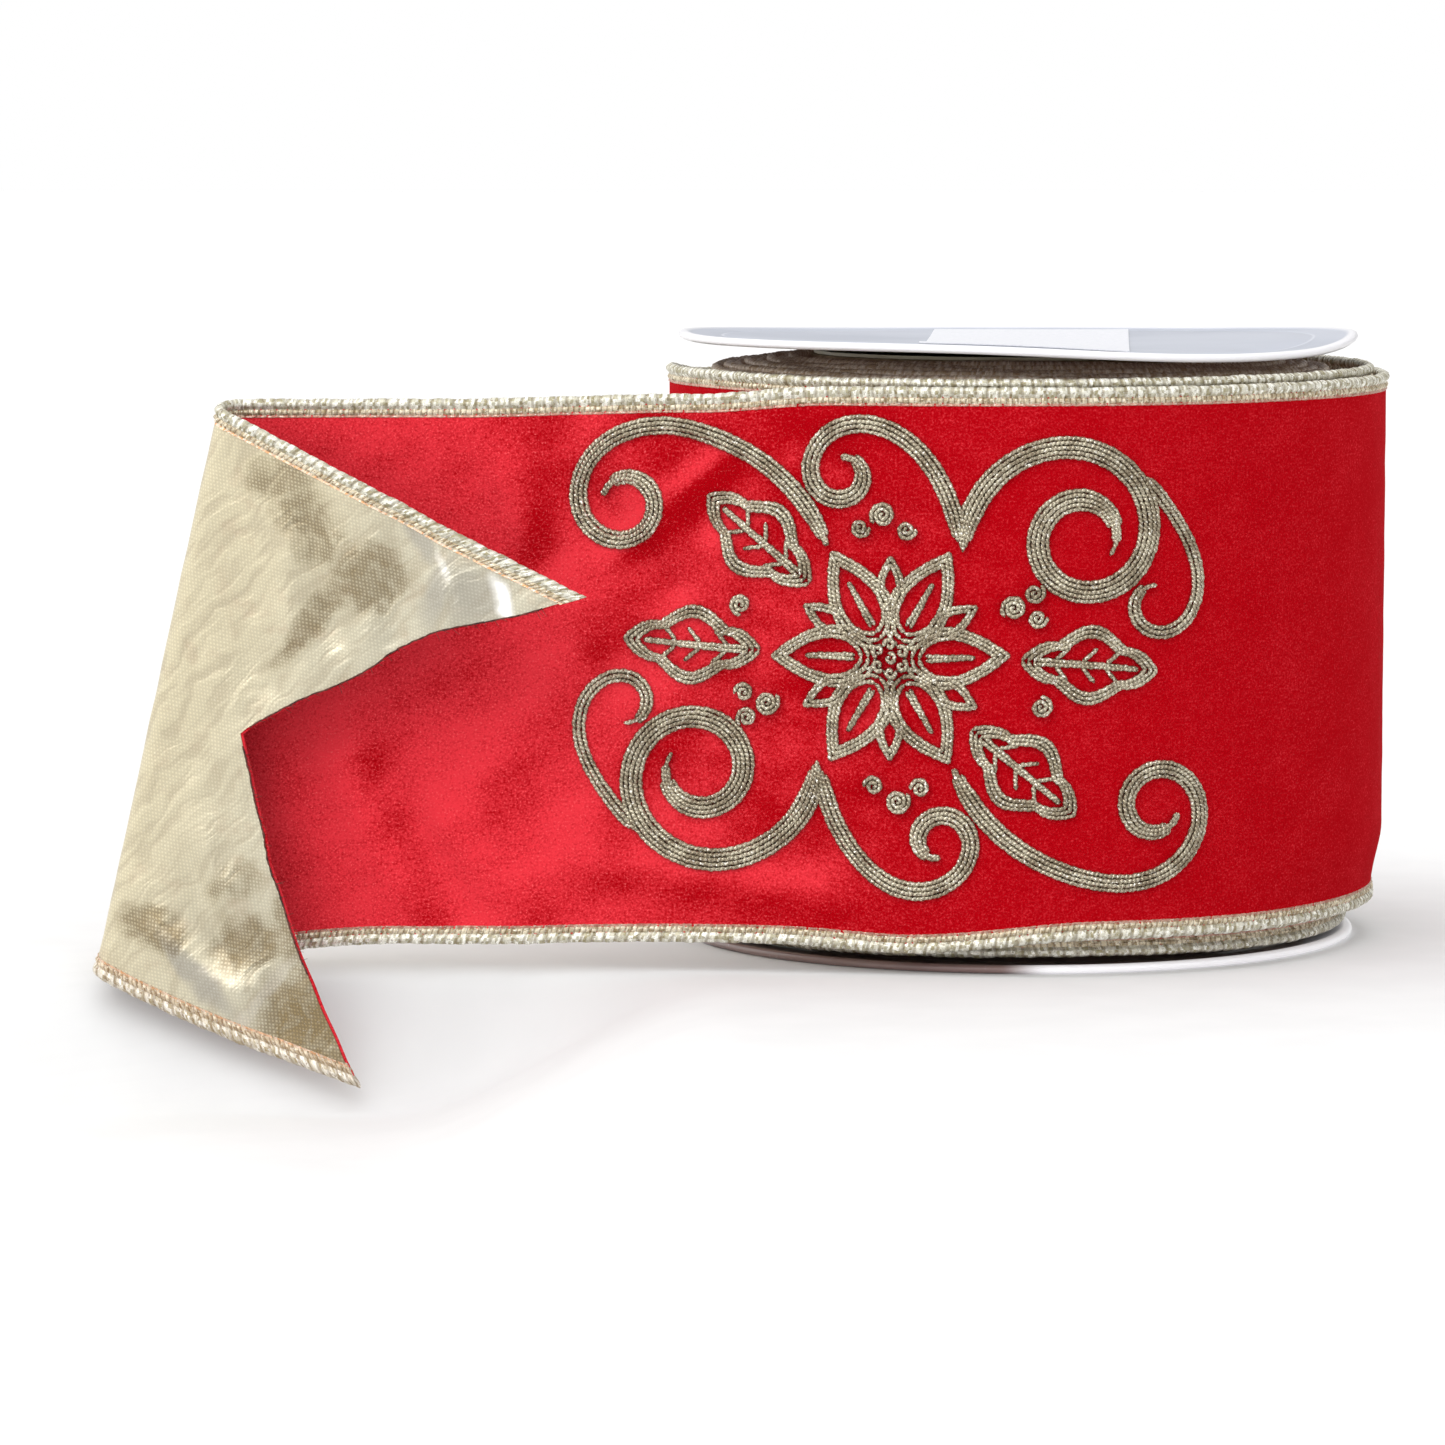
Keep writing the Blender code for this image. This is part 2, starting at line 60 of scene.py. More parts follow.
RIBBON_WIDTH = 101.6 * MM
OUTER_RADIUS = 68.5 * MM
OUTER_PITCH = 2.4 * MM
OUTER_TURNS = 1.35
OUTER_LIFT = 5.5 * MM
LIFT_PER_TURN = 1.5 * MM
FIRST_BULGE = 2.5 * MM
SECOND_BULGE = 2.0 * MM
FRONT = -math.pi / 2
PEEL_ANGLE = math.radians(-63.3)
PARTING_ANGLE = math.radians(-97.4)
STRAIGHT_LENGTH = 137.3 * MM
DROOP = 0.6 * MM
SAG = 1.0 * MM
DROOP_LENGTH = 141.0 * MM
DROOP_POWER = 2.5
CORNER_DROOP = 4.5 * MM
CORNER_DROOP_START, CORNER_DROOP_END = 105.0 * MM, 162.0 * MM
SKEW = 2.75 * MM
SKEW_LENGTH = 150.0 * MM
CREASE_TILT = math.radians(12.0)
CREASE_RADIUS = 4.0 * MM
FOLD_ANGLE = math.pi - math.radians(12.0)
FOLD_LENGTH = FOLD_ANGLE * CREASE_RADIUS
END_LENGTH = 76.0 * MM
NOTCH_DEPTH = 49.5 * MM
UPPER_CUT_BOW, LOWER_CUT_BOW = 4.7 * MM, 3.6 * MM
END_DROOP_TOP = 0.028
END_LIFT_BOTTOM = 0.030
END_BELLY = 1.6 * MM
WINDING_START_RADIUS = 42.4 * MM
WINDING_END_RADIUS = 63.6 * MM
WINDING_PITCH = 2.1 * MM
WINDING_START_ANGLE = math.radians(40.0)

VELVET_FACE, VELVET_BACK = 0.55 * MM, 0.05 * MM
LAME_FACE, LAME_BACK = -0.05 * MM, -0.25 * MM
BINDING_MIDDLE = 0.15 * MM
BEAD_PITCH = 2.1 * MM
BEAD_SLANT = 0.12
WEB_EDGE = 1.6 * MM
CREASE_STANDOFF = 5.0 * MM
BACK_SPLIT_ANGLE = math.radians(50.0)
TAIL_MIDDLE = 60.0 * MM

MOTIF_ALONG = 17.3 * MM
MOTIF_UP = 53.1 * MM

UP = np.array((0.0, 0.0, 1.0))
TIP_ALONG = STRAIGHT_LENGTH + math.pi * CREASE_RADIUS / math.cos(CREASE_TILT) + END_LENGTH
PEEL_ALONG = (PARTING_ANGLE - PEEL_ANGLE) * OUTER_RADIUS
BACK_SPLIT = (PARTING_ANGLE - BACK_SPLIT_ANGLE) * OUTER_RADIUS
INNER_END = PEEL_ALONG - OUTER_TURNS * TAU * OUTER_RADIUS


# ---- the ribbon's shape

def smooth(x):
    x = np.clip(x, 0.0, 1.0)
    return x * x * (3 - 2 * x)


def mix(a, b, t):
    return a * (1 - t) + b * t


def unit(vectors):
    return vectors / np.linalg.norm(vectors, axis=-1, keepdims=True)


def ripple(x, y, scale, seed, waves=7):
    """Smooth, irregular waves about as long as scale, between -1 and 1."""
    rng = np.random.default_rng(seed)
    total = np.zeros(np.broadcast(x, y).shape)
    for _ in range(waves):
        heading = rng.uniform(0, TAU)
        stretch = rng.uniform(0.6, 1.5)
        phase = rng.uniform(0, TAU)
        k = TAU / (scale * stretch)
        total = total + np.sin(k * (x * math.cos(heading) + y * math.sin(heading)) + phase)
    return total / waves ** 0.5 / 1.4


def roll_radius(angle):
    turns = (angle - FRONT) / TAU
    bulge = np.where(turns < 0.75, FIRST_BULGE, SECOND_BULGE)
    return OUTER_RADIUS - OUTER_PITCH * turns + bulge * np.maximum(np.cos(angle), 0.0) ** 2


def roll_frame(angle):
    """Points and outward directions, in plan, on the loose outer turn."""
    step = 1e-3
    ends = []
    for near in (angle, angle - step, angle + step):
        radius = roll_radius(near)
        ends.append(np.stack([radius * np.cos(near), radius * np.sin(near), 0 * near], -1))
    return ends[0], np.cross(unit(ends[2] - ends[1]), UP)


PARTING_POINT, PARTING_OUT = (a[0] for a in roll_frame(np.array([PARTING_ANGLE])))
TAIL_DIRECTION = np.cross(PARTING_OUT, UP)
CREASE_ACROSS = math.cos(CREASE_TILT) * TAIL_DIRECTION + math.sin(CREASE_TILT) * UP
CREASE_ALONG = -math.sin(CREASE_TILT) * TAIL_DIRECTION + math.cos(CREASE_TILT) * UP
CREASE_TOP = PARTING_POINT + STRAIGHT_LENGTH * TAIL_DIRECTION + (OUTER_LIFT + RIBBON_WIDTH) * UP

# soft creases: from (along, w) to (along, w), width and height, all in mm
TAIL_CREASES = (
    (92, 96, 84, 78, 5.0, 1.3),
    (78, 98, 80, 74, 4.5, -1.0),
    (70, 97, 62, 84, 4.0, 1.2),
    (61, 100, 52, 80, 4.0, -1.2),
    (74, 84, 58, 66, 3.5, -1.1),
    (66, 74, 50, 88, 3.0, 1.1),
    (48, 98, 30, 84, 5.0, 1.1),
    (34, 92, 16, 80, 4.0, -1.0),
    (88, 62, 70, 52, 6.0, -1.0),
    (60, 30, 34, 18, 6.0, -1.0),
    (118, 34, 104, 8, 5.0, 1.6),
    (110, 30, 96, 6, 4.0, -1.4),
    (98, 22, 84, 5, 4.0, 0.9),
    (70, 14, 30, 8, 4.0, 0.8),
)
END_CREASES = (
    (163, 96, 176, 72, 3.5, -1.0),
    (170, 92, 186, 74, 3.0, 1.1),
    (196, 100, 206, 84, 3.2, -1.6),
    (188, 98, 196, 78, 4.0, 1.3),
    (158, 70, 176, 60, 3.0, 0.7),
    (160, 60, 178, 48, 3.0, -0.8),
    (164, 46, 182, 30, 3.0, 0.9),
    (172, 38, 186, 24, 3.0, -1.0),
    (178, 24, 190, 14, 3.5, 1.3),
    (176, 12, 196, 8, 3.0, -1.6),
    (196, 20, 206, 6, 3.5, 1.2),
)


def crease_relief(along, w, creases):
    total = np.zeros(np.broadcast(along, w).shape)
    for a1, w1, a2, w2, width, height in creases:
        start = np.array((a1, w1)) * MM
        run = np.array((a2, w2)) * MM - start
        length = np.linalg.norm(run)
        da, dw = along - start[0], w - start[1]
        t = (da * run[0] + dw * run[1]) / length ** 2
        off = (da * run[1] - dw * run[0]) / length
        past = np.maximum(np.abs(t - 0.5) - 0.5, 0) * length
        spread = width * MM
        total = total + height * MM * np.exp(-(off / spread) ** 2 - (past / (1.3 * spread)) ** 2)
    return total


def relief(along, w):
    """How far the cloth stands off its plain path: crumples on the tail and the folded end."""
    tail = smooth(along / (25 * MM)) * smooth((STRAIGHT_LENGTH + 14 * MM - along) / (30 * MM))
    end = smooth((along - STRAIGHT_LENGTH - 22 * MM) / (16 * MM))
    edge = np.minimum(w, RIBBON_WIDTH - w)
    held = mix(0.35, 1.0, smooth(edge / (14 * MM)))
    total = tail * (crease_relief(along, w, TAIL_CREASES) + 0.35 * MM * ripple(along, w, 26 * MM, 3))
    slant = along * 0.55 + w
    streaks = 0.45 - np.abs(ripple(0.30 * along - 0.16 * w, slant * 0.9, 5.5 * MM, 6, 5))
    patch = smooth(0.5 + 0.8 * ripple(along, w, 34 * MM, 7, 4))
    crumple = 0.40 * MM * streaks * mix(0.35, 1.0, patch)
    total = total + end * (crease_relief(along, w, END_CREASES) + 0.4 * MM * ripple(along, w, 20 * MM, 5))
    total = total + end * crumple
    u, v = (MOTIF_ALONG - along) / (50 * MM), (w - MOTIF_UP) / (40 * MM)
    pucker = np.exp(-((u * u + v * v) ** 2)) * 0.13 * MM * ripple(along, w, 6 * MM, 9, 9)
    total = total + 0.10 * MM * ripple(along, w, 9 * MM, 8) * mix(0.5, 1.0, tail + end) + pucker
    return total * held


def nap(along, w):
    """Painted light and shade, 0 to 1: the cloth's slope towards the upper left, where the key light
    comes from, enlarged.
    """
    step = 0.4 * MM
    left = relief(along + step, w) - relief(along - step, w)
    up = relief(along, w + step) - relief(along, w - step)
    return np.clip(0.5 - (0.75 * left + 1.0 * up) / (2 * step) * 1.6, 0, 1)


def left_turn(along):
    """1 where the loose outer turn comes round at the left, out of the tail's way."""
    angle = PARTING_ANGLE - along / OUTER_RADIUS
    return smooth((-np.cos(angle) - 0.55) / 0.4) * smooth((-60 * MM - along) / (20 * MM))


def edge_lift(along, w):
    """The loose outer turn does not lie level: its edges ride a little up and down the roll."""
    upper = 1.5 * MM * smooth((54 * MM - along) / (26 * MM))
    lower = -1.5 * MM * np.exp(-(((along - 14 * MM) / (15 * MM)) ** 2))
    lower = lower + 1.2 * MM * smooth((4 * MM - along) / (26 * MM))
    behind = smooth(2 * np.sin(PARTING_ANGLE - along / OUTER_RADIUS))
    upper = upper + MM * (0.5 - 2.2 * behind) * left_turn(along)
    return mix(lower, upper, w / RIBBON_WIDTH)


def drooped(point, beyond, w):
    """The free tail sinks and swings under its weight, and so does the end folded back over it."""
    reach = np.maximum(PARTING_POINT[0] - point[..., 0], 0.0)
    low = 1 - np.clip(point[..., 2] / RIBBON_WIDTH, -0.2, 1.1)
    sink = DROOP * (reach / DROOP_LENGTH) ** DROOP_POWER + SAG * smooth((reach - 52 * MM) / (48 * MM))
    far = smooth((reach - CORNER_DROOP_START) / (CORNER_DROOP_END - CORNER_DROOP_START))
    sink = sink + CORNER_DROOP * far * smooth(low)
    sink = sink - mix(END_LIFT_BOTTOM, -END_DROOP_TOP, w / RIBBON_WIDTH) * beyond
    belly = np.sin(math.pi * np.clip(beyond / END_LENGTH, 0, 1))
    sink = sink + END_BELLY * belly * (1 - w / RIBBON_WIDTH) ** 2
    aside = SKEW * low * reach / SKEW_LENGTH
    return point - sink[..., None] * UP + aside[..., None] * TAIL_DIRECTION


def ribbon_place(along, w, h):
    """World places of ribbon points, as in the CAD, with the cloth's relief added."""
    along, w, h = np.broadcast_arrays(
        np.asarray(along, float), np.asarray(w, float), np.asarray(h, float)
    )
    h = h + relief(along, w)
    angle = PARTING_ANGLE - np.minimum(along, 0.0) / OUTER_RADIUS
    point, out = roll_frame(angle)
    tucked = 2.0 * MM * smooth((15 * MM - w) / (13 * MM)) * smooth((np.cos(angle) - 0.55) / 0.4)
    lift = OUTER_LIFT + LIFT_PER_TURN * np.maximum((angle - PEEL_ANGLE) / TAU, 0.0)
    ride = edge_lift(along, w)
    on_roll = point + out * (h - tucked)[..., None] + (lift + w + ride)[..., None] * UP

    past = along - STRAIGHT_LENGTH
    across = past * math.cos(CREASE_TILT) + (w - RIBBON_WIDTH) * math.sin(CREASE_TILT)
    down = -past * math.sin(CREASE_TILT) + (w - RIBBON_WIDTH) * math.cos(CREASE_TILT)
    turn = np.clip(across / CREASE_RADIUS, 0.0, FOLD_ANGLE)[..., None]
    beyond = np.maximum(across - FOLD_LENGTH, 0.0)
    straight = np.where(across < 0, across, beyond)[..., None]
    heading = np.cos(turn) * CREASE_ACROSS + np.sin(turn) * PARTING_OUT
    normal = np.cos(turn) * PARTING_OUT - np.sin(turn) * CREASE_ACROSS
    centre = CREASE_TOP + CREASE_RADIUS * PARTING_OUT
    free = centre - CREASE_RADIUS * normal + straight * heading + down[..., None] * CREASE_ALONG
    free = drooped(free + normal * h[..., None], beyond, w) + ride[..., None] * UP
    return np.where((along < 0)[..., None], on_roll, free)


def winding_lift(radius):
    depth = np.maximum((69.0 * MM - radius) / (27.0 * MM), 0.0)
    slip = np.exp(-(((radius - 62.5 * MM) / (2.0 * MM)) ** 2))
    return OUTER_LIFT + 5.0 * MM * depth ** 0.6 - 5.2 * MM * slip


def winding_place(along, w, h):
    """World places on the ribbon wound on the core; along is the angle turned, times 1 m."""
    along, w, h = np.broadcast_arrays(
        np.asarray(along, float), np.asarray(w, float), np.asarray(h, float)
    )
    radius = WINDING_START_RADIUS + WINDING_PITCH * along / TAU
    angle = WINDING_START_ANGLE + along
    out = np.stack([np.cos(angle), np.sin(angle), 0 * angle], -1)
    lift = winding_lift(radius) + 0.35 * MM * np.sin(3.1 * angle + radius / MM)
    return out * (radius + h)[..., None] + (lift + w)[..., None] * UP


# ---- mesh helpers

def face_outward(mesh):
    """Turns the faces out where a closed mesh was walked the other way round."""
    bm = bmesh.new()
    bm.from_mesh(mesh)
    if bm.calc_volume(signed=True) < 0:
        bmesh.ops.reverse_faces(bm, faces=bm.faces)
        bm.to_mesh(mesh)
    bm.free()


def make_piece(name, points, faces, material, uv=None, closed=True):
    mesh = bpy.data.meshes.new(name)
    mesh.from_pydata(np.asarray(points, float).reshape(-1, 3).tolist(), [], faces)
    mesh.materials.append(material)
    if uv is not None:
        loops = np.zeros(len(mesh.loops), np.int32)
        mesh.loops.foreach_get("vertex_index", loops)
        layer = mesh.uv_layers.new(name="ribbon")
        layer.data.foreach_set("uv", np.asarray(uv, np.float32).reshape(-1, 2)[loops].ravel())
    mesh.shade_smooth()
    mesh.set_sharp_from_angle(angle=math.radians(60.0))
    if closed:
        face_outward(mesh)
    piece = bpy.data.objects.new(name, mesh)
    bpy.context.scene.collection.objects.link(piece)
    return piece


def add_shade(piece, name, values):
    """Stores one number for each point, for the piece's material."""
    layer = piece.data.attributes.new(name, "FLOAT", "POINT")
    layer.data.foreach_set("value", np.asarray(values, np.float32).ravel())


def grid_faces(rows, columns, base=0, flip=False, closed=False):
    """Quads over a grid of points; closed joins its last column to its first."""
    i = np.arange(rows - 1)[:, None]
    j = np.arange(columns if closed else columns - 1)[None, :]
    k = (j + 1) % columns
    quads = np.stack(
        [i * columns + j, i * columns + k, (i + 1) * columns + k, (i + 1) * columns + j], -1
    ).reshape(-1, 4) + base
    if flip:
        quads = quads[:, ::-1]
    return quads.tolist()


def layer_mesh(face, back):
    """Points and faces of a closed thin layer between two grids of points, (rows, columns, 3)."""
    rows, columns, _ = face.shape
    count = rows * columns
    faces = grid_faces(rows, columns) + grid_faces(rows, columns, count, flip=True)
    index = np.arange(count).reshape(rows, columns)
    loop = np.concatenate([index[0, :], index[1:, -1], index[-1, -2::-1], index[-2:0:-1, 0]])
    for a, b in zip(loop, np.roll(loop, -1)):
        faces.append([int(b), int(a), int(a + count), int(b + count)])
    return np.concatenate([face.reshape(-1, 3), back.reshape(-1, 3)]), faces


def sheet_piece(name, along, w, back, face, material, place=ribbon_place):
    """A closed thin layer of cloth: along has one row per station and one column per w."""
    w = np.broadcast_to(w, along.shape)
    points, faces = layer_mesh(place(along, w, face), place(along, w, back))
    uv = np.stack([along.ravel(), w.ravel()], -1) / MM
    return make_piece(name, points, faces, material, np.concatenate([uv, uv]))


def circle(corners):
    return np.arange(corners) / corners * TAU


def square_to(line):
    """Unit vectors square to a flat line, on its left."""
    run = unit(np.gradient(line, axis=0))
    return np.stack([-run[:, 1], run[:, 0]], -1)


def tube_mesh(rings):
    """Points and faces of a closed tube through rings, an array (rings, corners, 3)."""
    count, corners, _ = rings.shape
    faces = grid_faces(count, corners, closed=True)
    faces.append(list(range(corners))[::-1])
    faces.append(list(range((count - 1) * corners, count * corners)))
    return rings.reshape(-1, 3), faces


def merged(parts):
    """The points and faces of several meshes as one."""
    points, faces, base = [], [], 0
    for more, quads, *_ in parts:
        points.append(more)
        faces += [[i + base for i in face] for face in quads]
        base += len(more)
    return np.concatenate(points), faces


# ---- materials

class Paint:
    """A material's node tree, built by name."""

    def __init__(self, name):
        self.material = bpy.data.materials.new(name)
        self.material.use_nodes = True
        self.tree = self.material.node_tree
        self.shader = self.tree.nodes["Principled BSDF"]

    def put(self, socket, value):
        if isinstance(value, bpy.types.NodeSocket):
            self.tree.links.new(value, socket)
        elif isinstance(value, tuple) and len(value) == 3 and socket.type == "RGBA":
            socket.default_value = (*value, 1.0)
        else:
            socket.default_value = value

    def node(self, kind, output=0, inputs=(), **settings):
        made = self.tree.nodes.new("ShaderNode" + kind)
        for key, value in settings.items():
            setattr(made, key, value)
        items = inputs.items() if isinstance(inputs, dict) else enumerate(inputs)
        for key, value in items:
            if value is not None:
                self.put(made.inputs[key], value)
        return made.outputs[output]

    def math(self, operation, a, b=0.0):
        return self.node("Math", inputs=(a, b), operation=operation)

    def plus(self, a, b):
        return self.math("ADD", a, b)

    def minus(self, a, b):
        return self.math("SUBTRACT", a, b)

    def times(self, a, b):
        return self.math("MULTIPLY", a, b)

    def vector(self, operation, *inputs, output=0):
        return self.node("VectorMath", output, inputs, operation=operation)

    def wave(self, value, period, phase=0.0):
        """0 to 1 and back along value, once every period."""
        turned = self.math("SINE", self.plus(self.times(value, TAU / period), phase))
        return self.plus(self.times(turned, 0.5), 0.5)

    def noise(self, vector, scale, detail=2.0, roughness=0.5):
        return self.node(
            "TexNoise",
            inputs={"Vector": vector, "Scale": scale, "Detail": detail, "Roughness": roughness},
        )

    def ramp(self, value, low, high, a=0.0, b=1.0):
        made = self.tree.nodes.new("ShaderNodeMapRange")
        made.interpolation_type = "SMOOTHSTEP"
        keys = ("Value", "From Min", "From Max", "To Min", "To Max")
        for key, item in zip(keys, (value, low, high, a, b)):
            self.put(made.inputs[key], item)
        return made.outputs[0]

    def blend(self, factor, a, b):
        made = self.tree.nodes.new("ShaderNodeMix")
        made.data_type = "RGBA"
        self.put(made.inputs[0], factor)
        self.put(made.inputs[6], a)
        self.put(made.inputs[7], b)
        return made.outputs[2]

    def over(self, base, colour, value, low, high, strength=1.0):
        """Lays a colour over base, more strongly as value goes from low to high."""
        return self.blend(self.ramp(value, low, high, 0.0, strength), base, colour)

    def uv(self):
        return self.node("UVMap", uv_map="ribbon")

    def split(self, vector):
        made = self.tree.nodes.new("ShaderNodeSeparateXYZ")
        self.put(made.inputs[0], vector)
        return made.outputs[0], made.outputs[1], made.outputs[2]

    def bump(self, height, strength, distance):
        made = self.node("Bump", inputs={"Height": height, "Strength": strength, "Distance": distance})
        self.put(self.shader.inputs["Normal"], made)

    def surface(self, **values):
        for key, value in values.items():
            self.put(self.shader.inputs[key.replace("_", " ").title().replace("Ior", "IOR")], value)
        return self.material


def velvet_material():
    """UV in millimetres; the free end of the ribbon is painted lighter than the roll, as painted light
    and sheen.
    """
    paint = Paint("crushed red velvet")
    uv = paint.uv()
    x, y, _ = paint.split(uv)
    # painted light and shade from the cloth's slope, stored on each point
    slope = paint.node("Attribute", 2, attribute_name="nap")
    pile = paint.noise(uv, 0.07, 3.0, 0.6)
    nap_tone = paint.noise(uv, 0.55, 4.0, 0.65)
    mottle = paint.noise(uv, 1.2, 3.0, 0.7)
    speck = paint.noise(uv, 2.4, 2.0, 0.7)
    # painted light: the tone rises from the roll to the free end, where the key light and sheen fall
    tone = paint.ramp(x, -10.0, 105.0, 0.10, 0.76)
    shaded = paint.times(paint.ramp(y, 66.0, 96.0, 0.0, 0.25), paint.ramp(x, 118.0, 84.0))
    tone = paint.minus(tone, paint.times(shaded, paint.ramp(x, 0.0, 40.0)))
    # how strongly the painted slope light and shade show, more on the free end
    slope_light_share = paint.ramp(x, -5.0, 40.0, 0.4, 1.05)
    grainy = paint.ramp(x, -40.0, 40.0, 0.7, 1.25)
    for share, part in ((slope_light_share, slope), (0.45, pile), (0.50, nap_tone), (grainy, mottle), (1.2, speck)):
        tone = paint.plus(tone, paint.times(paint.minus(part, 0.5), share))
    base = paint.blend(paint.ramp(tone, -0.05, 1.05), (0.40, 0.0002, 0.0040), (0.78, 0.036, 0.052))
    # painted glints: pale specks of light on the pile, stronger towards the lit free end
    glint = paint.ramp(speck, 0.58, 0.72)
    bright = paint.ramp(x, -20.0, 90.0, 0.05, 0.30)
    base = paint.blend(paint.times(glint, bright), base, (0.98, 0.24, 0.24))
    height = paint.plus(speck, paint.times(nap_tone, 0.8))
    paint.bump(height, 0.5, 0.25 * MM)
    bounced = paint.node("LightPath", output=2)
    base = paint.blend(paint.times(bounced, 0.7), base, (0.16, 0.10, 0.10))
    return paint.surface(
        base_color=base,
        roughness=0.9,
        specular_ior_level=0.02,
        sheen_weight=0.06,
        sheen_roughness=0.35,
        sheen_tint=(1.0, 0.03, 0.06),
    )


# painted dark reflections, painted mid-toned reflections and painted highlights on the folded end:
# (along, w, half length, half width, angle in degrees, strength), in mm
DARK_REFLECTION_PATCHES = (
    (163, 95, 8.0, 4.5, 20, 0.42),
    (172, 90, 10.0, 5.5, -25, 0.48),
    (187, 86, 8.5, 7.0, 30, 0.62),
    (180, 74, 3.2, 11.0, -15, 0.50),
    (194, 17, 8.5, 6.0, 30, 0.70),
    (175, 13, 7.5, 4.5, 0, 0.70),
    (214, 8, 14.5, 14.0, 0, 1.0),
    (186, 26, 7.0, 4.0, 40, 0.30),
    (203, 25, 7.5, 10.5, 20, 0.62),
    (190, 60, 4.0, 9.0, -15, 0.25),
)
MIDTONE_REFLECTION_PATCHES = (
    (192, 98, 8.0, 2.4, -35, 0.60),
    (200, 91, 3.0, 7.5, 8, 0.60),
    (187, 8.5, 13.0, 2.4, -22, 0.70),
    (207, 92, 7.5, 6.5, 0, 0.50),
)
HIGHLIGHT_PATCHES = (
    (211.5, 94.5, 5.5, 2.2, -30, 0.85),
    (199, 95, 5.0, 1.0, -45, 0.30),
    (201, 10, 1.4, 11.0, -20, 0.15),
)


def patches(paint, uv, spots):
    """0 to 1 over a set of soft-edged oval patches."""
    total = None
    for x, y, length, width, angle, strength in spots:
        off = paint.vector("SUBTRACT", uv, (x, y, 0.0))
        off = paint.node("VectorRotate", inputs={"Vector": off, "Angle": -math.radians(angle)})
        off = paint.vector("MULTIPLY", off, (1 / length, 1 / width, 0.0))
        size = paint.vector("LENGTH", off, output=1)
        spot = paint.ramp(size, 1.25, 0.35, 0.0, strength)
        total = spot if total is None else paint.math("MAXIMUM", total, spot)
    return total


def lame_material():
    """UV in millimetres: a fine twill of metallic yarn, crumpled, with painted dark and mid-toned
    reflections and painted highlights in soft patches.
    """
    paint = Paint("pale gold lame")
    uv = paint.uv()
    x, y, _ = paint.split(uv)
    twill = paint.wave(paint.plus(x, paint.times(y, 0.6)), 0.75)
    weft = paint.wave(paint.minus(y, paint.times(x, 0.2)), 0.65)
    weave = paint.times(twill, weft)
    smudge = paint.noise(uv, 0.16, 4.0, 0.6)
    speck = paint.noise(uv, 2.6, 2.0, 0.7)
    stray = paint.node("TexNoise", output=1, inputs={"Vector": uv, "Scale": 0.12, "Detail": 2.0})
    stray = paint.vector("SUBTRACT", stray, (0.5, 0.5, 0.5))
    stray = paint.vector("MULTIPLY", stray, (6.0, 6.0, 0.0))
    moved = paint.vector("ADD", uv, stray)
    streaked = paint.node("VectorRotate", inputs={"Vector": moved, "Angle": math.radians(-68)})
    streaked = paint.vector("MULTIPLY", streaked, (0.11, 0.42, 1.0))
    streak = paint.noise(streaked, 1.0, 2.0, 0.5)
    cloudy = paint.ramp(paint.noise(moved, 0.35, 4.0, 0.65), 0.30, 0.70, 0.5, 1.3)
    # painted reflections, dark brownish and mid-toned, and painted highlights
    dark_reflection = paint.times(patches(paint, moved, DARK_REFLECTION_PATCHES), cloudy)
    midtone_reflection = patches(paint, moved, MIDTONE_REFLECTION_PATCHES)
    painted_highlight = patches(paint, moved, HIGHLIGHT_PATCHES)
    # painted reflection: a lighter, warmer cream towards the crease
    base = paint.blend(paint.ramp(x, 205.0, 160.0), (0.66, 0.62, 0.485), (0.73, 0.655, 0.46))
    # painted shade along the crumple streaks
    base = paint.over(base, (0.47, 0.40, 0.28), streak, 0.54, 0.36, 0.40)
    base = paint.over(base, (0.50, 0.38, 0.27), smudge, 0.52, 0.70, 0.30)
    base = paint.blend(dark_reflection, base, (0.33, 0.245, 0.12))
    base = paint.blend(midtone_reflection, base, (0.40, 0.38, 0.34))
    # painted shade: the twill's gaps go darker within the painted dark reflections
    dark = paint.times(paint.ramp(weave, 0.05, 0.8, 1.0, 0.0), paint.ramp(dark_reflection, 0.0, 0.5, 0.22, 0.62))
    base = paint.blend(dark, base, (0.16, 0.12, 0.065))
    # painted glints: pale specks of light
    base = paint.over(base, (1.0, 0.98, 0.90), speck, 0.60, 0.75, 0.30)
    base = paint.blend(painted_highlight, base, (1.0, 0.99, 0.95))
    height = paint.plus(paint.times(weave, 0.08), paint.times(streak, 2.4))
    paint.bump(height, 0.7, 0.24 * MM)
    return paint.surface(
        base_color=base,
        metallic=paint.ramp(painted_highlight, 0.2, 0.8, 0.65, 0.3),
        roughness=paint.ramp(smudge, 0.3, 0.7, 0.38, 0.48),
        specular_ior_level=0.6,
        emission_color=(1.0, 0.98, 0.93),
        # the painted highlights glow a little
        emission_strength=paint.ramp(painted_highlight, 0.5, 0.95, 0.0, 0.28),
    )


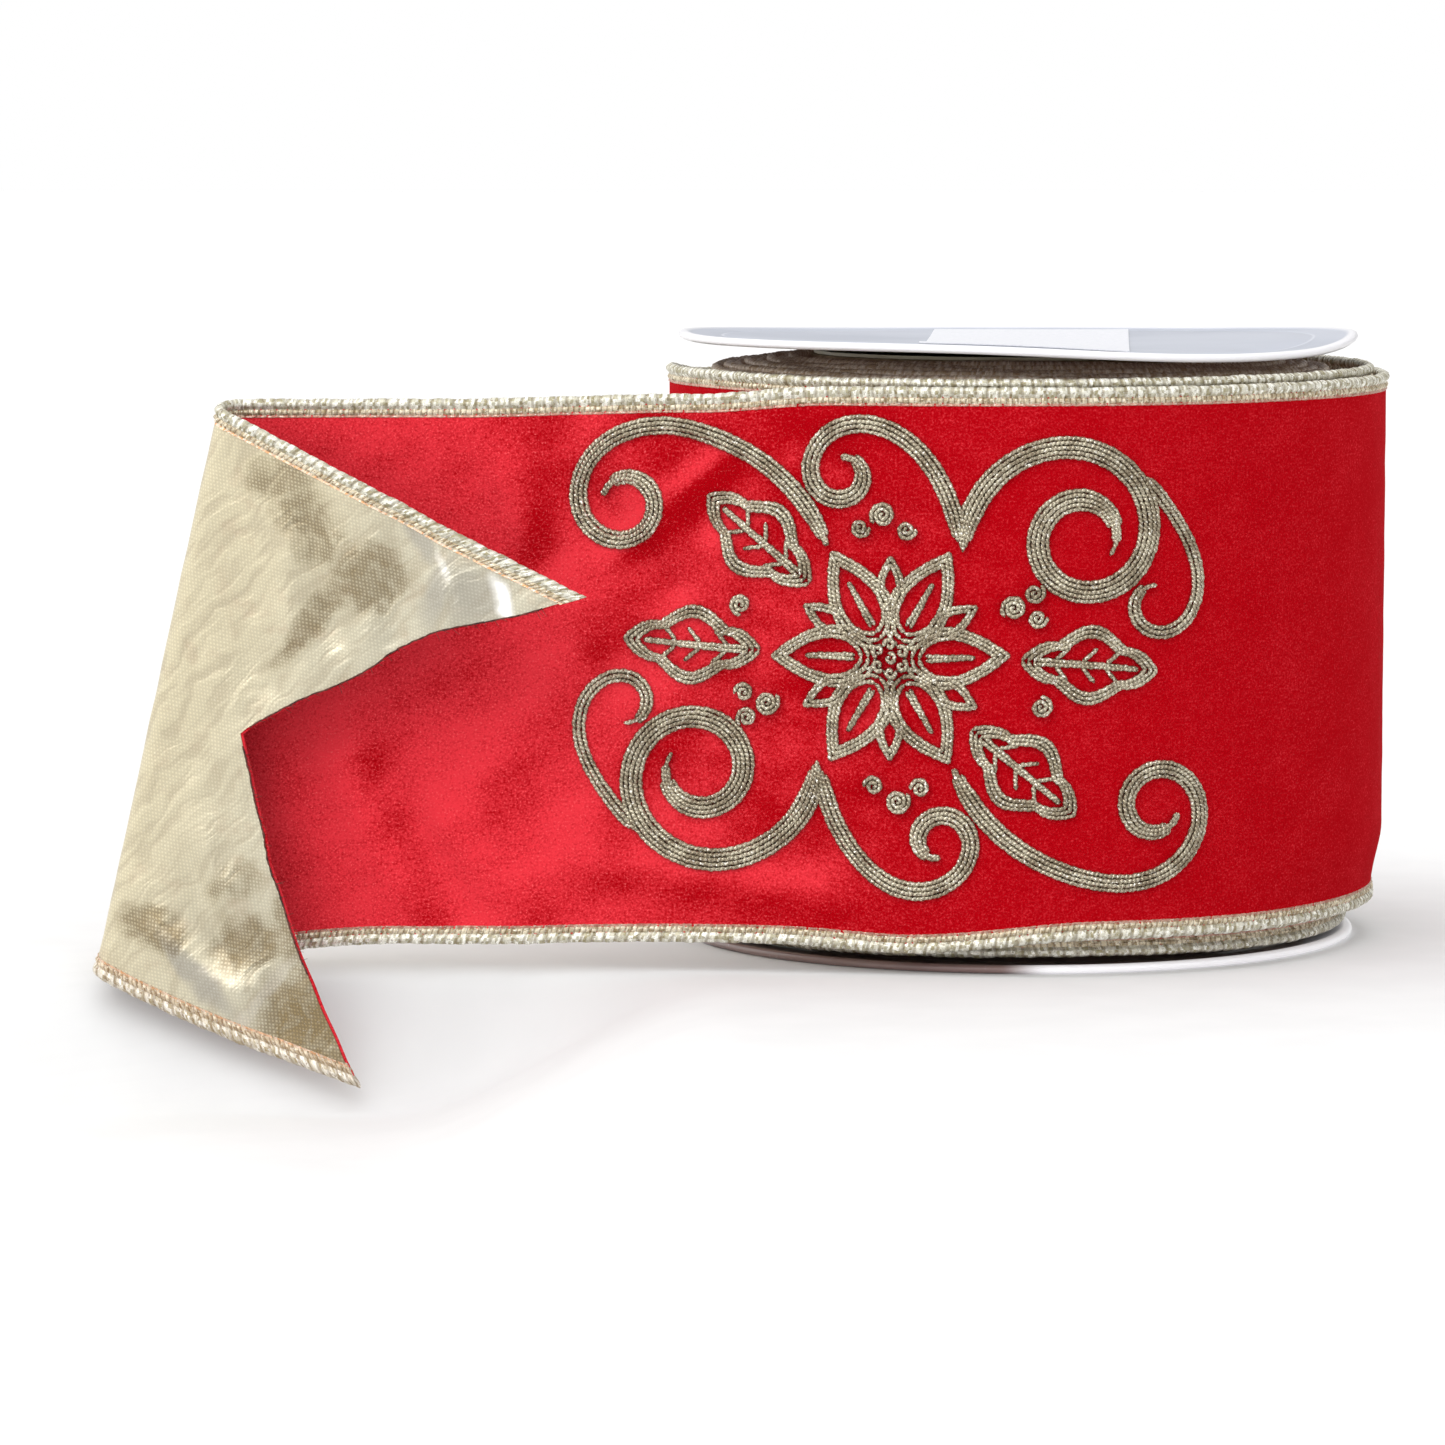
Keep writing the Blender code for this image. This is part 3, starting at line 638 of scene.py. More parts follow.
def binding_material(name, shade=1.0):
    """UV: x is millimetres along the edge; y millimetres in from it, negative on the lame side."""
    paint = Paint(name)
    uv = paint.uv()
    x, y, _ = paint.split(uv)
    inset = paint.math("ABSOLUTE", y)
    slanted = paint.plus(x, paint.times(inset, BEAD_SLANT))
    wander = paint.times(paint.minus(paint.noise(uv, 0.8, 2.0), 0.5), 0.9)
    pitch = BEAD_PITCH / MM
    fat = paint.wave(slanted, pitch, -math.pi / 2)
    little = paint.wave(slanted, pitch / 2, 1.8 - math.pi / 2)
    column = paint.math("FLOOR", paint.times(paint.plus(slanted, wander), 2.0))
    row = paint.math("FLOOR", paint.times(paint.plus(y, wander), 1.5))
    cell = paint.node("CombineXYZ", inputs=(column, row, 0.0))
    strand = paint.node("TexWhiteNoise", inputs={"Vector": cell})
    foil = paint.noise(uv, 1.5, 3.0, 0.75)
    fine = paint.noise(uv, 3.2, 2.0, 0.7)
    outer = paint.blend(strand, (0.34, 0.30, 0.17), (1.0, 0.99, 0.90))
    # painted shade in the gaps between the fat beads
    outer = paint.over(outer, (0.20, 0.15, 0.07), fat, 0.35, 0.0, 0.55)
    middle = paint.blend(strand, (0.33, 0.24, 0.12), (0.88, 0.79, 0.60))
    # painted shade in the gaps between the small beads
    middle = paint.over(middle, (0.16, 0.09, 0.04), little, 0.30, 0.0, 0.6)
    behind = paint.ramp(y, -0.2, 0.2, 1.0, 0.0)
    edge_row = paint.blend(behind, (0.42, 0.15, 0.11), (0.80, 0.38, 0.15))
    lit_row = paint.blend(behind, (0.66, 0.44, 0.33), (0.92, 0.76, 0.62))
    edge_row = paint.blend(strand, edge_row, lit_row)
    base = paint.blend(paint.ramp(inset, 1.85, 2.10), outer, middle)
    base = paint.blend(paint.ramp(inset, 2.95, 3.12), base, edge_row)
    base = paint.over(base, (0.15, 0.10, 0.05), foil, 0.44, 0.34, 0.8)
    # painted glints: pale specks of light on the metallic thread
    base = paint.over(base, (1.0, 0.99, 0.94), fine, 0.58, 0.68, 0.85)
    # painted shade: below 1 the thread is painted darker, browner and less metallic, with a faint brown
    # glow standing in for fill light
    if shade < 1:
        base = paint.blend(1 - shade, base, (0.34, 0.17, 0.09))
    paint.bump(paint.plus(foil, paint.times(strand, 0.5)), 0.8, 0.25 * MM)
    return paint.surface(
        base_color=base,
        metallic=0.45 * shade,
        emission_color=(1.0, 0.55, 0.38),
        emission_strength=0.05 * (1 - shade),
        roughness=paint.ramp(fine, 0.40, 0.65, 0.50, 0.22),
    )


def embroidery_material():
    """UV: x is millimetres along a strand, y goes once round it."""
    paint = Paint("antique gold thread")
    uv = paint.uv()
    x, y, _ = paint.split(uv)
    place = paint.node("TexCoord", output=3)
    twist = paint.wave(paint.plus(x, paint.times(y, 0.8)), 0.8)
    foil = paint.noise(place, 2600.0, 2.0, 0.6)
    tone = paint.noise(place, 260.0, 2.0)
    glint = paint.noise(place, 1500.0, 2.0, 0.7)
    base = paint.blend(paint.ramp(tone, 0.35, 0.65), (0.34, 0.29, 0.20), (0.62, 0.57, 0.43))
    # painted shade in the grooves of the twist
    base = paint.over(base, (0.08, 0.04, 0.025), twist, 0.40, 0.0, 0.55)
    base = paint.over(base, (0.12, 0.08, 0.05), foil, 0.48, 0.36, 0.7)
    base = paint.over(base, (1.0, 0.97, 0.88), glint, 0.60, 0.68, 0.95)
    paint.bump(paint.plus(twist, paint.times(foil, 1.2)), 0.9, 0.15 * MM)
    return paint.surface(
        base_color=base,
        metallic=0.75,
        roughness=paint.ramp(foil, 0.4, 0.65, 0.42, 0.16),
    )


def card_material(name, low, high, under_roll=False):
    """UV: x is millimetres from the middle; the rolled rim is whiter than the face, whose bluish tone is
    painted shade and reflection on white card.

    Under the roll the card is painted in shade, but for the rim on the right and at the back and the face
    beyond the roll, which are painted lit; that rim glows a little.
    """
    paint = Paint(name)
    place = paint.node("TexCoord", output=3)
    radius, _, _ = paint.split(paint.uv())
    cloud = paint.noise(place, 22.0, 3.0)
    fibre = paint.noise(place, 900.0, 2.0)
    base = paint.blend(paint.ramp(cloud, 0.35, 0.65), low, high)
    base = paint.over(base, (0.70, 0.72, 0.78), fibre, 0.6, 0.8, 0.15)
    groove = paint.ramp(paint.math("ABSOLUTE", paint.minus(radius, 57.0)), 0.0, 0.5, 0.5, 0.0)
    base = paint.blend(groove, base, (0.80, 0.82, 0.90))
    rim = paint.ramp(radius, 63.0, 64.2)
    glow = 0.0
    if under_roll:
        x, y, _ = paint.split(place)
        # painted light on the face beyond the roll
        base = paint.blend(paint.ramp(x, 51 * MM, 56 * MM), base, (0.74, 0.72, 0.80))
        # painted light on the rim at the right and the back, painted shade on it at the front left; the
        # lit rim glows a little
        behind = paint.ramp(y, -30 * MM, -10 * MM)
        rim = paint.times(rim, paint.math("MAXIMUM", paint.ramp(x, -6 * MM, 4 * MM), behind))
        glow = paint.times(rim, 0.30)
    base = paint.blend(rim, base, (0.86, 0.85, 0.88))
    paint.bump(paint.plus(cloud, paint.times(fibre, 0.05)), 0.25, 1.0 * MM)
    return paint.surface(
        base_color=base,
        roughness=0.40,
        specular_ior_level=0.5,
        coat_weight=0.5,
        coat_roughness=0.16,
        emission_color=(1.0, 0.98, 1.0),
        emission_strength=glow,
    )


def paper_material():
    paint = Paint("label paper")
    place = paint.node("TexCoord", output=3)
    fibre = paint.noise(place, 1200.0, 3.0, 0.6)
    base = paint.blend(paint.ramp(fibre, 0.35, 0.7), (0.70, 0.71, 0.75), (0.80, 0.80, 0.84))
    paint.bump(fibre, 0.12, 0.05 * MM)
    return paint.surface(base_color=base, roughness=0.38)


def grained_material(name, low, high, scale, roughness, metallic=0.0, bump=0.2):
    paint = Paint(name)
    place = paint.node("TexCoord", output=3)
    grain = paint.noise(place, scale, 4.0, 0.6)
    paint.bump(grain, bump, 0.1 * MM)
    base = paint.blend(paint.ramp(grain, 0.3, 0.7), low, high)
    return paint.surface(base_color=base, roughness=roughness, metallic=metallic)


velvet = velvet_material()
lame = lame_material()
binding = binding_material("metallic overlock thread")
# dark loose yarn, and the painted shadow line along the cuts
fray_and_edge_shadow = grained_material("frayed yarn and painted edge shadow", (0.035, 0.006, 0.006), (0.16, 0.05, 0.035), 900.0, 0.8)
# painted shade on the folded end's lower edge
shaded_end_binding = binding_material("overlock thread in painted shade", 0.76)
# painted shade on the windings' upper edges, under the top card
shaded_binding = binding_material("dulled overlock thread", 0.55)
thread = embroidery_material()
# white card, its face painted in a bluish shade and reflection
card = card_material("coated white card", (0.40, 0.43, 0.52), (0.50, 0.53, 0.62))
# painted shade under the roll, warm brown
shaded_card = card_material("coated white card, shaded", (0.24, 0.15, 0.14), (0.34, 0.23, 0.21), True)
paper = paper_material()
kraft = grained_material("kraft board", (0.36, 0.24, 0.14), (0.50, 0.36, 0.22), 400.0, 0.85)
glue = grained_material("set glue", (0.74, 0.66, 0.44), (0.84, 0.77, 0.56), 90.0, 0.35)
tape = grained_material("clear tape", (0.76, 0.72, 0.58), (0.84, 0.81, 0.68), 60.0, 0.2)
steel = grained_material("annealed wire", (0.52, 0.50, 0.46), (0.72, 0.70, 0.66), 2000.0, 0.35, 1.0)


# ---- stations along the ribbon

def beside_crease(distance, w):
    slant = (RIBBON_WIDTH - w) * math.tan(CREASE_TILT)
    return STRAIGHT_LENGTH + distance / math.cos(CREASE_TILT) + slant


def swallowtail(w, trim=0.0):
    """The cut end: a notch whose two sides bow a little, as scissors leave them."""
    half = RIBBON_WIDTH / 2
    depth = 1 - np.abs(w - half) / half
    upper = UPPER_CUT_BOW * np.exp(-(((depth - 0.41) / 0.22) ** 2))
    upper = upper + 1.4 * MM * np.exp(-(((depth - 0.82) / 0.14) ** 2))
    bow = np.where(w > half, upper, LOWER_CUT_BOW * np.sin(math.pi * depth))
    waver = 0.22 * MM * ripple(w, 0 * w, 9 * MM, 31, 5)
    return TIP_ALONG - NOTCH_DEPTH * depth - bow - waver - trim


def stations(first, last, step):
    """Rows of along values from one line across the ribbon to another."""
    longest = float(np.max(np.abs(last - first)))
    count = max(int(math.ceil(longest / step)), 1) + 1
    t = np.linspace(0.0, 1.0, count)[:, None]
    return first[None, :] * (1 - t) + last[None, :] * t


def joined(*runs):
    return np.concatenate([runs[0]] + [run[1:] for run in runs[1:]])


def level_rows(w, first, last, step):
    return stations(np.full_like(w, first), np.full_like(w, last), step)


def roll_rows(w, step):
    return level_rows(w, INNER_END, BACK_SPLIT, step)


def tail_rows(w, step):
    return joined(
        level_rows(w, BACK_SPLIT, 0.0, step),
        level_rows(w, 0.0, TAIL_MIDDLE, step),
        stations(np.full_like(w, TAIL_MIDDLE), beside_crease(-CREASE_STANDOFF, w), step),
    )


def end_rows(w, step, trim=0.0):
    return joined(
        stations(beside_crease(-CREASE_STANDOFF, w), beside_crease(0.0, w), step),
        stations(beside_crease(0.0, w), beside_crease(FOLD_LENGTH, w), min(step, 0.55 * MM)),
        stations(beside_crease(FOLD_LENGTH, w), swallowtail(w, trim), step),
    )


# ---- how each stretch is placed: the roll rides on the outer turn, the tail and the end stay where they are made


def follow_roll(piece):
    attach(piece, "outer_turn")


def follow_peel(piece):
    """Keeps the piece where it is made, on no body, its placing baked into its points."""
    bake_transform(piece)


def follow_fold(piece):
    """Keeps the piece where it is made, on no body, its placing baked into its points."""
    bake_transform(piece)


def on_spool(piece, replaced):
    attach(piece, "spool")
    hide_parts(replaced)


STRETCHES = {
    "roll": (roll_rows, follow_roll, "outer"),
    "tail": (tail_rows, follow_peel, "tail"),
    "end": (end_rows, follow_fold, "end"),
}


def finish_piece(piece, stretch, layer):
    _, follow, prefix = STRETCHES[stretch]
    follow(piece)
    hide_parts(f"{prefix}_{layer}")
    if stretch == "end":
        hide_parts(f"fold_{layer}")


# ---- velvet and lame webs

WEB_STEP = 1.3 * MM
# a layer's back and face, its material, and how far its cut end stops short
LAYERS = {
    "velvet": (VELVET_BACK, VELVET_FACE, velvet, 0.0),
    "lame": (LAME_BACK, LAME_FACE, lame, 0.45 * MM),
}


def web_heights():
    inner = RIBBON_WIDTH / 2 - WEB_EDGE
    half = np.linspace(0.0, inner, 38)
    return np.concatenate([RIBBON_WIDTH / 2 - half[::-1], RIBBON_WIDTH / 2 + half[1:]])


def make_webs():
    w = web_heights()
    for stretch, (rows, _, _) in STRETCHES.items():
        for layer, (back, face, material, trim) in LAYERS.items():
            along = rows(w, WEB_STEP, trim) if stretch == "end" else rows(w, WEB_STEP)
            piece = sheet_piece(f"{layer}_{stretch}", along, w, back, face, material)
            # painted light and shade from the cloth's slope
            shade = nap(along, np.broadcast_to(w, along.shape)).ravel()
            add_shade(piece, "nap", np.concatenate([shade, shade]))
            finish_piece(piece, stretch, layer)


# ---- overlocked bindings

BINDING_STEP = 0.20 * MM
BINDING_INSETS = np.array(
    (0.0, 0.10, 0.42, 0.95, 1.45, 1.80, 1.98, 2.16, 2.50, 2.84, 3.02, 3.18, 3.40, 3.70)
) * MM
# rows of beads and stitches, from the edge in: middle, half width and height in mm, pitch, the share
# of the height left between beads, sharpness, phase, shift of the random sizes, spread of the sizes
BEAD_ROWS = (
    (0.98, 1.00, 0.98, BEAD_PITCH, 0.74, 0.5, 0.0, 0.0, 0.13),
    (2.50, 0.56, 0.80, BEAD_PITCH / 2, 0.6, 0.6, 0.9, 0.3, 0.2),
    (3.36, 0.36, 0.62, BEAD_PITCH, 0.5, 0.4, 1.2, 0.4, 0.1),
)
THREAD_HALF, LAST_INSET, LAST_HALF = 0.42 * MM, 3.6 * MM, 0.15 * MM
EDGE_ROUND = 0.30 * MM
WINDING_INSETS = np.array((0.0, 0.42, 0.95, 1.60, 1.98, 2.50, 3.02, 3.40, 3.70)) * MM


def lobe(inset, centre, half, height):
    return height * np.sqrt(np.maximum(1 - ((inset - centre) / half) ** 2, 0.0))


def bead_sizes(s, pitch, spread, seed):
    """A random size for each bead, held over its length."""
    sizes = np.random.default_rng(seed).uniform(1 - spread, 1 + spread, 4096)
    return sizes[np.floor(s / pitch).astype(int) % 4096]


def binding_rings(along, s, insets, upper, place):
    """Rings round one edge: a row of fat beads, a row of small ones and a row of stitches."""
    side = np.concatenate([insets, insets[-2:0:-1]])
    front = np.concatenate([np.ones(len(insets)), -np.ones(len(insets) - 2)])
    seed = 40 if upper else 50
    slanted = s[:, None] + BEAD_SLANT * side[None, :]
    half = np.full(slanted.shape, THREAD_HALF)
    for row, numbers in enumerate(BEAD_ROWS):
        middle, width, height, pitch, between, sharpness, phase, shift, spread = numbers
        swell = np.abs(np.sin(math.pi * slanted / pitch + phase)) ** sharpness
        size = bead_sizes(slanted + shift * pitch, pitch, spread, seed + row)
        beads = lobe(side, middle * MM, width * MM, height * MM) * mix(between, 1.0, swell) * size
        half = np.maximum(half, beads)
    half = half * np.sqrt(np.clip(side / EDGE_ROUND, 0.0, 1.0))
    half = np.where(side > LAST_INSET, LAST_HALF, half)
    outer = np.clip(1 - side / (1.2 * MM), 0, 1)
    half = half + 0.06 * MM * ripple(slanted, 0 * slanted, 0.9 * MM, seed + 4, 6)
    dip = 1 - np.abs(np.sin(math.pi * slanted / BEAD_PITCH)) ** 0.5
    waver = ripple(s, 0 * s, 5 * MM, seed + 3, 5)[:, None]
    scallop = (0.15 * MM * dip + 0.10 * MM * waver) * outer
    w = side[None, :] + scallop
    w = RIBBON_WIDTH - w if upper else w
    if along.ndim == 1:
        along = along[:, None]
    uv = np.stack(np.broadcast_arrays(s[:, None] / MM, side * front / MM), -1)
    return place(along, w, BINDING_MIDDLE + half * front), uv


def binding_piece(name, along, s, insets, upper, place, material):
    rings, uv = binding_rings(along, s, insets, upper, place)
    points, faces = tube_mesh(rings)
    return make_piece(name, points, faces, material, uv)


def edge_span(rows, w):
    """Where a stretch starts and ends at the heights w."""
    along = rows(w, 1.0)
    return along[0], along[-1]


def edges():
    """Both edges of every stretch."""
    for stretch, (rows, _, _) in STRETCHES.items():
        yield stretch, rows, "upper"
        yield stretch, rows, "lower"


def make_bindings():
    sides = np.concatenate([BINDING_INSETS, BINDING_INSETS[-2:0:-1]])
    for stretch, rows, side in edges():
        upper = side == "upper"
        start, end = edge_span(rows, RIBBON_WIDTH - sides if upper else sides)
        t = np.linspace(0, 1, int(np.max(end - start) / BINDING_STEP))
        along = start * (1 - t[:, None]) + end * t[:, None]
        name = f"{side}_binding_{stretch}"
        # the folded end's lower binding is painted in shade
        material = shaded_end_binding if name == "lower_binding_end" else binding
        piece = binding_piece(name, along, along.mean(1), BINDING_INSETS, upper, ribbon_place, material)
        finish_piece(piece, stretch, f"{side}_binding")


WIRE_INSET, WIRE_RADIUS, WIRE_STEP = 1.0 * MM, 0.22 * MM, 1.2 * MM


def make_wires():
    corners = circle(6)
    for stretch, rows, side in edges():
        middle = RIBBON_WIDTH - WIRE_INSET if side == "upper" else WIRE_INSET
        start, end = edge_span(rows, np.array([middle]))
        count = int((end[0] - start[0]) / WIRE_STEP)
        along = np.linspace(start[0], end[0], count)[:, None]
        w = middle + WIRE_RADIUS * np.sin(corners)[None, :]
        h = BINDING_MIDDLE + WIRE_RADIUS * np.cos(corners)[None, :]
        points, faces = tube_mesh(ribbon_place(along, w, h))
        piece = make_piece(f"{side}_wire_{stretch}", points, faces, steel)
        finish_piece(piece, stretch, f"{side}_wire")


def bent_strand(places, radius, corners=5):
    """A thin closed strand through world places."""
    run = unit(np.gradient(places, axis=0))
    side = unit(np.cross(run, PARTING_OUT))
    theta = circle(corners)
    up = np.cross(side, run)
    ring = side[:, None, :] * np.cos(theta)[:, None] + up[:, None, :] * np.sin(theta)[:, None]
    return tube_mesh(places[:, None, :] + np.broadcast_to(radius, len(places))[:, None, None] * ring)


# heights on the ribbon that each cut's frays span, and the loose hairs along each
FRAY_SPANS = ((52.5 * MM, 96.0 * MM), (16.0 * MM, 49.0 * MM))
FRAY_RADIUS, HAIR_RADIUS = 0.15 * MM, 0.06 * MM
HAIRS = 46


def make_frays():
    """Loose dark ends of yarn along the two scissor cuts, and along each cut a dark strand that paints
    the cut edge's shadow line.
    """
    rng = np.random.default_rng(77)
    parts = []
    for low, high in FRAY_SPANS:
        w = np.linspace(low, high, 260)
        h = LAME_BACK - 0.02 * MM + 0.08 * MM * ripple(w, 0 * w, 1.1 * MM, 61, 7)
        along = swallowtail(w, 0.40 * MM + 0.10 * MM * ripple(w, 0 * w, 1.7 * MM, 62, 7))
        radius = FRAY_RADIUS * (1 + 0.35 * ripple(w, 0 * w, 0.8 * MM, 63, 7))
        # a dark strand along the whole cut: the painted shadow line of the cut edge
        strands = [(ribbon_place(along, w, h), np.clip(radius, 0.05 * MM, None))]
        for _ in range(HAIRS):
            root = rng.uniform(low, high)
            t = np.linspace(0, 1, 5)
            lean, length = rng.uniform(-0.9, 0.9), rng.uniform(0.5, 1.7) * MM
            hair = ribbon_place(
                swallowtail(np.array([root]), 0.4 * MM) + t * length,
                root + lean * t * length,
                LAME_BACK - 0.05 * MM + rng.uniform(-0.3, 0.3) * MM * t ** 2,
            )
            strands.append((hair, HAIR_RADIUS * (1 - 0.5 * t)))
        parts += [bent_strand(places, radius) for places, radius in strands]
    piece = make_piece("cut_frays", *merged(parts), fray_and_edge_shadow)
    follow_fold(piece)


# ---- ribbon wound on the core

WINDING_STATIONS = 900
WINDING_BEAD_STEP = 0.42 * MM


def make_windings():
    end = (WINDING_END_RADIUS - WINDING_START_RADIUS) / WINDING_PITCH * TAU
    turned = np.linspace(0.0, end, WINDING_STATIONS)[:, None]
    w = np.array([0.0, 0.1, 0.5, 0.9, 1.0]) * RIBBON_WIDTH + np.array([1, 0, 0, 0, -1]) * WEB_EDGE
    along = np.broadcast_to(turned, (len(turned), len(w)))
    for layer, (back, face, material, _) in LAYERS.items():
        piece = sheet_piece(f"{layer}_windings", along, w, back, face, material, winding_place)
        # the windings get an even middle value of the painted slope light and shade
        add_shade(piece, "nap", np.full(len(piece.data.vertices), 0.5))
        on_spool(piece, f"inner_{layer}")
    mean = (WINDING_START_RADIUS + WINDING_END_RADIUS) / 2
    steps = np.linspace(0.0, end, int(end * mean / WINDING_BEAD_STEP))
    for upper in (True, False):
        side = "upper" if upper else "lower"
        # the windings' upper binding is painted in shade, under the top card
        piece = binding_piece(
            f"{side}_binding_windings", steps, steps * mean, WINDING_INSETS, upper, winding_place,
            shaded_binding if upper else binding,
        )
        on_spool(piece, f"inner_{side}_binding")


# ---- flanges and label

FLANGE_RADIUS = 65.5 * MM
FLANGE_THICKNESS = 1.2 * MM
TOP_FLANGE_BASE = 112.8 * MM
FLANGE_PROFILE = (
    (0.02, 0.0), (20.0, 0.0), (40.0, 0.0), (50.0, 0.0), (58.0, 0.0), (63.0, 0.0), (64.9, 0.05),
    (65.4, 0.35), (65.5, 0.75), (65.35, 1.20), (64.9, 1.50), (64.3, 1.58), (63.7, 1.48), (63.2, 1.26),
    (62.6, 1.20), (60.0, 1.20), (57.5, 1.20), (57.25, 1.10), (56.75, 1.10), (56.5, 1.20), (50.0, 1.20),
    (40.0, 1.20), (30.0, 1.20), (20.0, 1.20), (10.0, 1.20), (0.02, 1.20),
)
LABEL_HALF_WIDTH, LABEL_HALF_LENGTH = 19.5 * MM, 52.0 * MM
LABEL_GAP, LABEL_THICKNESS = 0.08 * MM, 0.2 * MM
LABEL_TURN, LABEL_SHIFT = math.radians(3.6), 2.0 * MM


def flange_warp(x, y):
    """The top card has warped: both sides have risen, and its front edge waves."""
    u, v = x / FLANGE_RADIUS, y / FLANGE_RADIUS
    sides = 0.25 + 1.9 * np.abs(u) ** 3
    front = 1.4 * np.cos(2.6 * (u + 0.35)) * smooth(-v / 0.6)
    return MM * (sides + front) * smooth((np.hypot(x, y) - 24 * MM) / (26 * MM))


def make_flange(name, base, material, warped):
    profile = np.array(FLANGE_PROFILE) * MM
    theta = circle(180)
    x = profile[:, :1] * np.cos(theta)
    y = profile[:, :1] * np.sin(theta)
    z = base + profile[:, 1:] + (flange_warp(x, y) if warped else 0 * x)
    points, faces = tube_mesh(np.stack([x, y, z], -1))
    uv = np.stack(np.broadcast_arrays(profile[:, :1] / MM, theta[None, :] / TAU), -1)
    piece = make_piece(name, points, faces, material, uv)
    on_spool(piece, name.replace("_card", "_flange"))


def make_label():
    """A blank paper label, stuck down over the top card, following its curl."""
    across = np.linspace(-LABEL_HALF_WIDTH, LABEL_HALF_WIDTH, 14)
    along = np.linspace(-LABEL_HALF_LENGTH, LABEL_HALF_LENGTH, 40)
    across, along = np.meshgrid(across, along)
    x = LABEL_SHIFT + across * math.cos(LABEL_TURN) + along * math.sin(LABEL_TURN)
    y = along * math.cos(LABEL_TURN) - across * math.sin(LABEL_TURN)
    base = TOP_FLANGE_BASE + FLANGE_THICKNESS + LABEL_GAP + flange_warp(x, y)
    top = np.stack([x, y, base + LABEL_THICKNESS], -1)
    points, faces = layer_mesh(top, np.stack([x, y, base], -1))
    on_spool(make_piece("blank_label", points, faces, paper), "label")


# ---- embroidery

CORD_PITCH = 0.84 * MM
CORD_RADIUS = 0.43 * MM
CORD_STEP = 0.26 * MM
CORD_CORNERS = 8
PETALS = 6
PETAL_LENGTH, PETAL_HALF_WIDTH = 19.0 * MM, 5.3 * MM
SEPAL_LENGTH, SEPAL_HALF_WIDTH = 9.5 * MM, 2.3 * MM
LEAF_LENGTH, LEAF_HALF_WIDTH = 25.0 * MM, 7.0 * MM
LEAVES = {
    "right_leaf": (24.0, -1.0, -6.0),
    "lower_right_leaf": (15.0, -13.0, -42.0),
    "left_leaf": (-24.0, 1.0, 174.0),
    "upper_left_leaf": (-15.0, 13.0, 138.0),
}
BERRIES = (
    (22.5, 8.6, 2.2), (26.8, 6.6, 1.7), (26.2, 11.2, 1.8), (27.5, -9.6, 1.9),
    (-1.5, 25.6, 2.2), (-5.6, 23.2, 1.7), (2.9, 23.0, 1.7),
)


def curl(start, heading, length, curvature):
    """A line whose bend per metre is curvature(t), t from 0 to 1; turns clockwise when positive."""
    count = max(int(length / (0.4 * MM)), 8)
    t = (np.arange(count) + 0.5) / count
    step = length / count
    heading = math.radians(heading) - np.cumsum(curvature(t)) * step
    u = start[0] * MM + np.concatenate([[0], np.cumsum(np.cos(heading)) * step])
    v = start[1] * MM + np.concatenate([[0], np.cumsum(np.sin(heading)) * step])
    return np.stack([u, v], -1)


def band(line, strands):
    """Parallel strands that draw together at both ends, the outer ones stopping sooner."""
    side = square_to(line)
    count = len(line)
    t = np.linspace(0, 1, count)
    squeeze = np.minimum(1.0, np.minimum(0.45 + t / 0.12, 0.40 + (1 - t) / 0.20))
    middle = (strands - 1) / 2
    made = []
    for k in range(strands):
        off = (k - middle) * CORD_PITCH
        cut = abs(k - middle) / middle
        first, last = int(count * 0.02 * cut), count - int(count * 0.05 * cut)
        made.append(((line + side * (off * squeeze)[:, None])[first:last], 0.35 * (1 - cut ** 2)))
    return made


def turned(points, origin, heading):
    c, s = math.cos(heading), math.sin(heading)
    u = origin[0] + points[:, 0] * c - points[:, 1] * s
    v = origin[1] + points[:, 0] * s + points[:, 1] * c
    return np.stack([u, v], -1)


def both_sides(x, y):
    return np.concatenate([np.stack([x, y], -1), np.stack([x, -y], -1)[::-1][1:]])


def petal(length, half, inset):
    t = np.linspace(0, 1, 60)
    y = (half - inset) * t ** 0.62 * (1 - t) / (0.383 ** 0.62 * 0.617)
    return both_sides(1.6 * inset + t * (length - 3.0 * inset), y)


def holly(length, half, inset):
    t = np.linspace(0, 1, 90)
    spine = 0.66 + 0.34 * np.abs(np.cos(TAU * t))
    y = (half - inset) * np.sin(math.pi * t) ** 0.8 * spine
    return both_sides(1.3 * inset + t * (length - 2.6 * inset), y)


def coil(radius):
    t = np.linspace(0, 1, 70)
    turn = TAU * radius / CORD_PITCH * t
    return radius * t[:, None] * np.stack([np.cos(turn), np.sin(turn)], -1)


def flower_strands():
    made = []
    t = np.linspace(0, 1, 30)
    for k in range(PETALS):
        heading = TAU * k / PETALS
        ray = np.array([math.cos(heading), math.sin(heading)])
        for i in range(3):
            outline = petal(PETAL_LENGTH, PETAL_HALF_WIDTH, i * CORD_PITCH)
            made.append((turned(outline, 2.6 * MM * ray, heading), 0.12 * i))
        for side in (-0.42, 0.42):
            vein = np.stack([6.5 + 9.0 * t, side * (1 - 0.8 * t)], -1) * MM
            made.append((turned(vein, (0, 0), heading), 0.0))
        between = heading + TAU / PETALS / 2
        ray = np.array([math.cos(between), math.sin(between)])
        for i in range(2):
            outline = petal(SEPAL_LENGTH, SEPAL_HALF_WIDTH, i * CORD_PITCH)
            made.append((turned(outline, 8.6 * MM * ray, between), 0.25))
        made.append((turned(coil(1.1 * MM), 2.5 * MM * ray, between), 0.75))
    made.append((coil(1.1 * MM), 0.9))
    return made


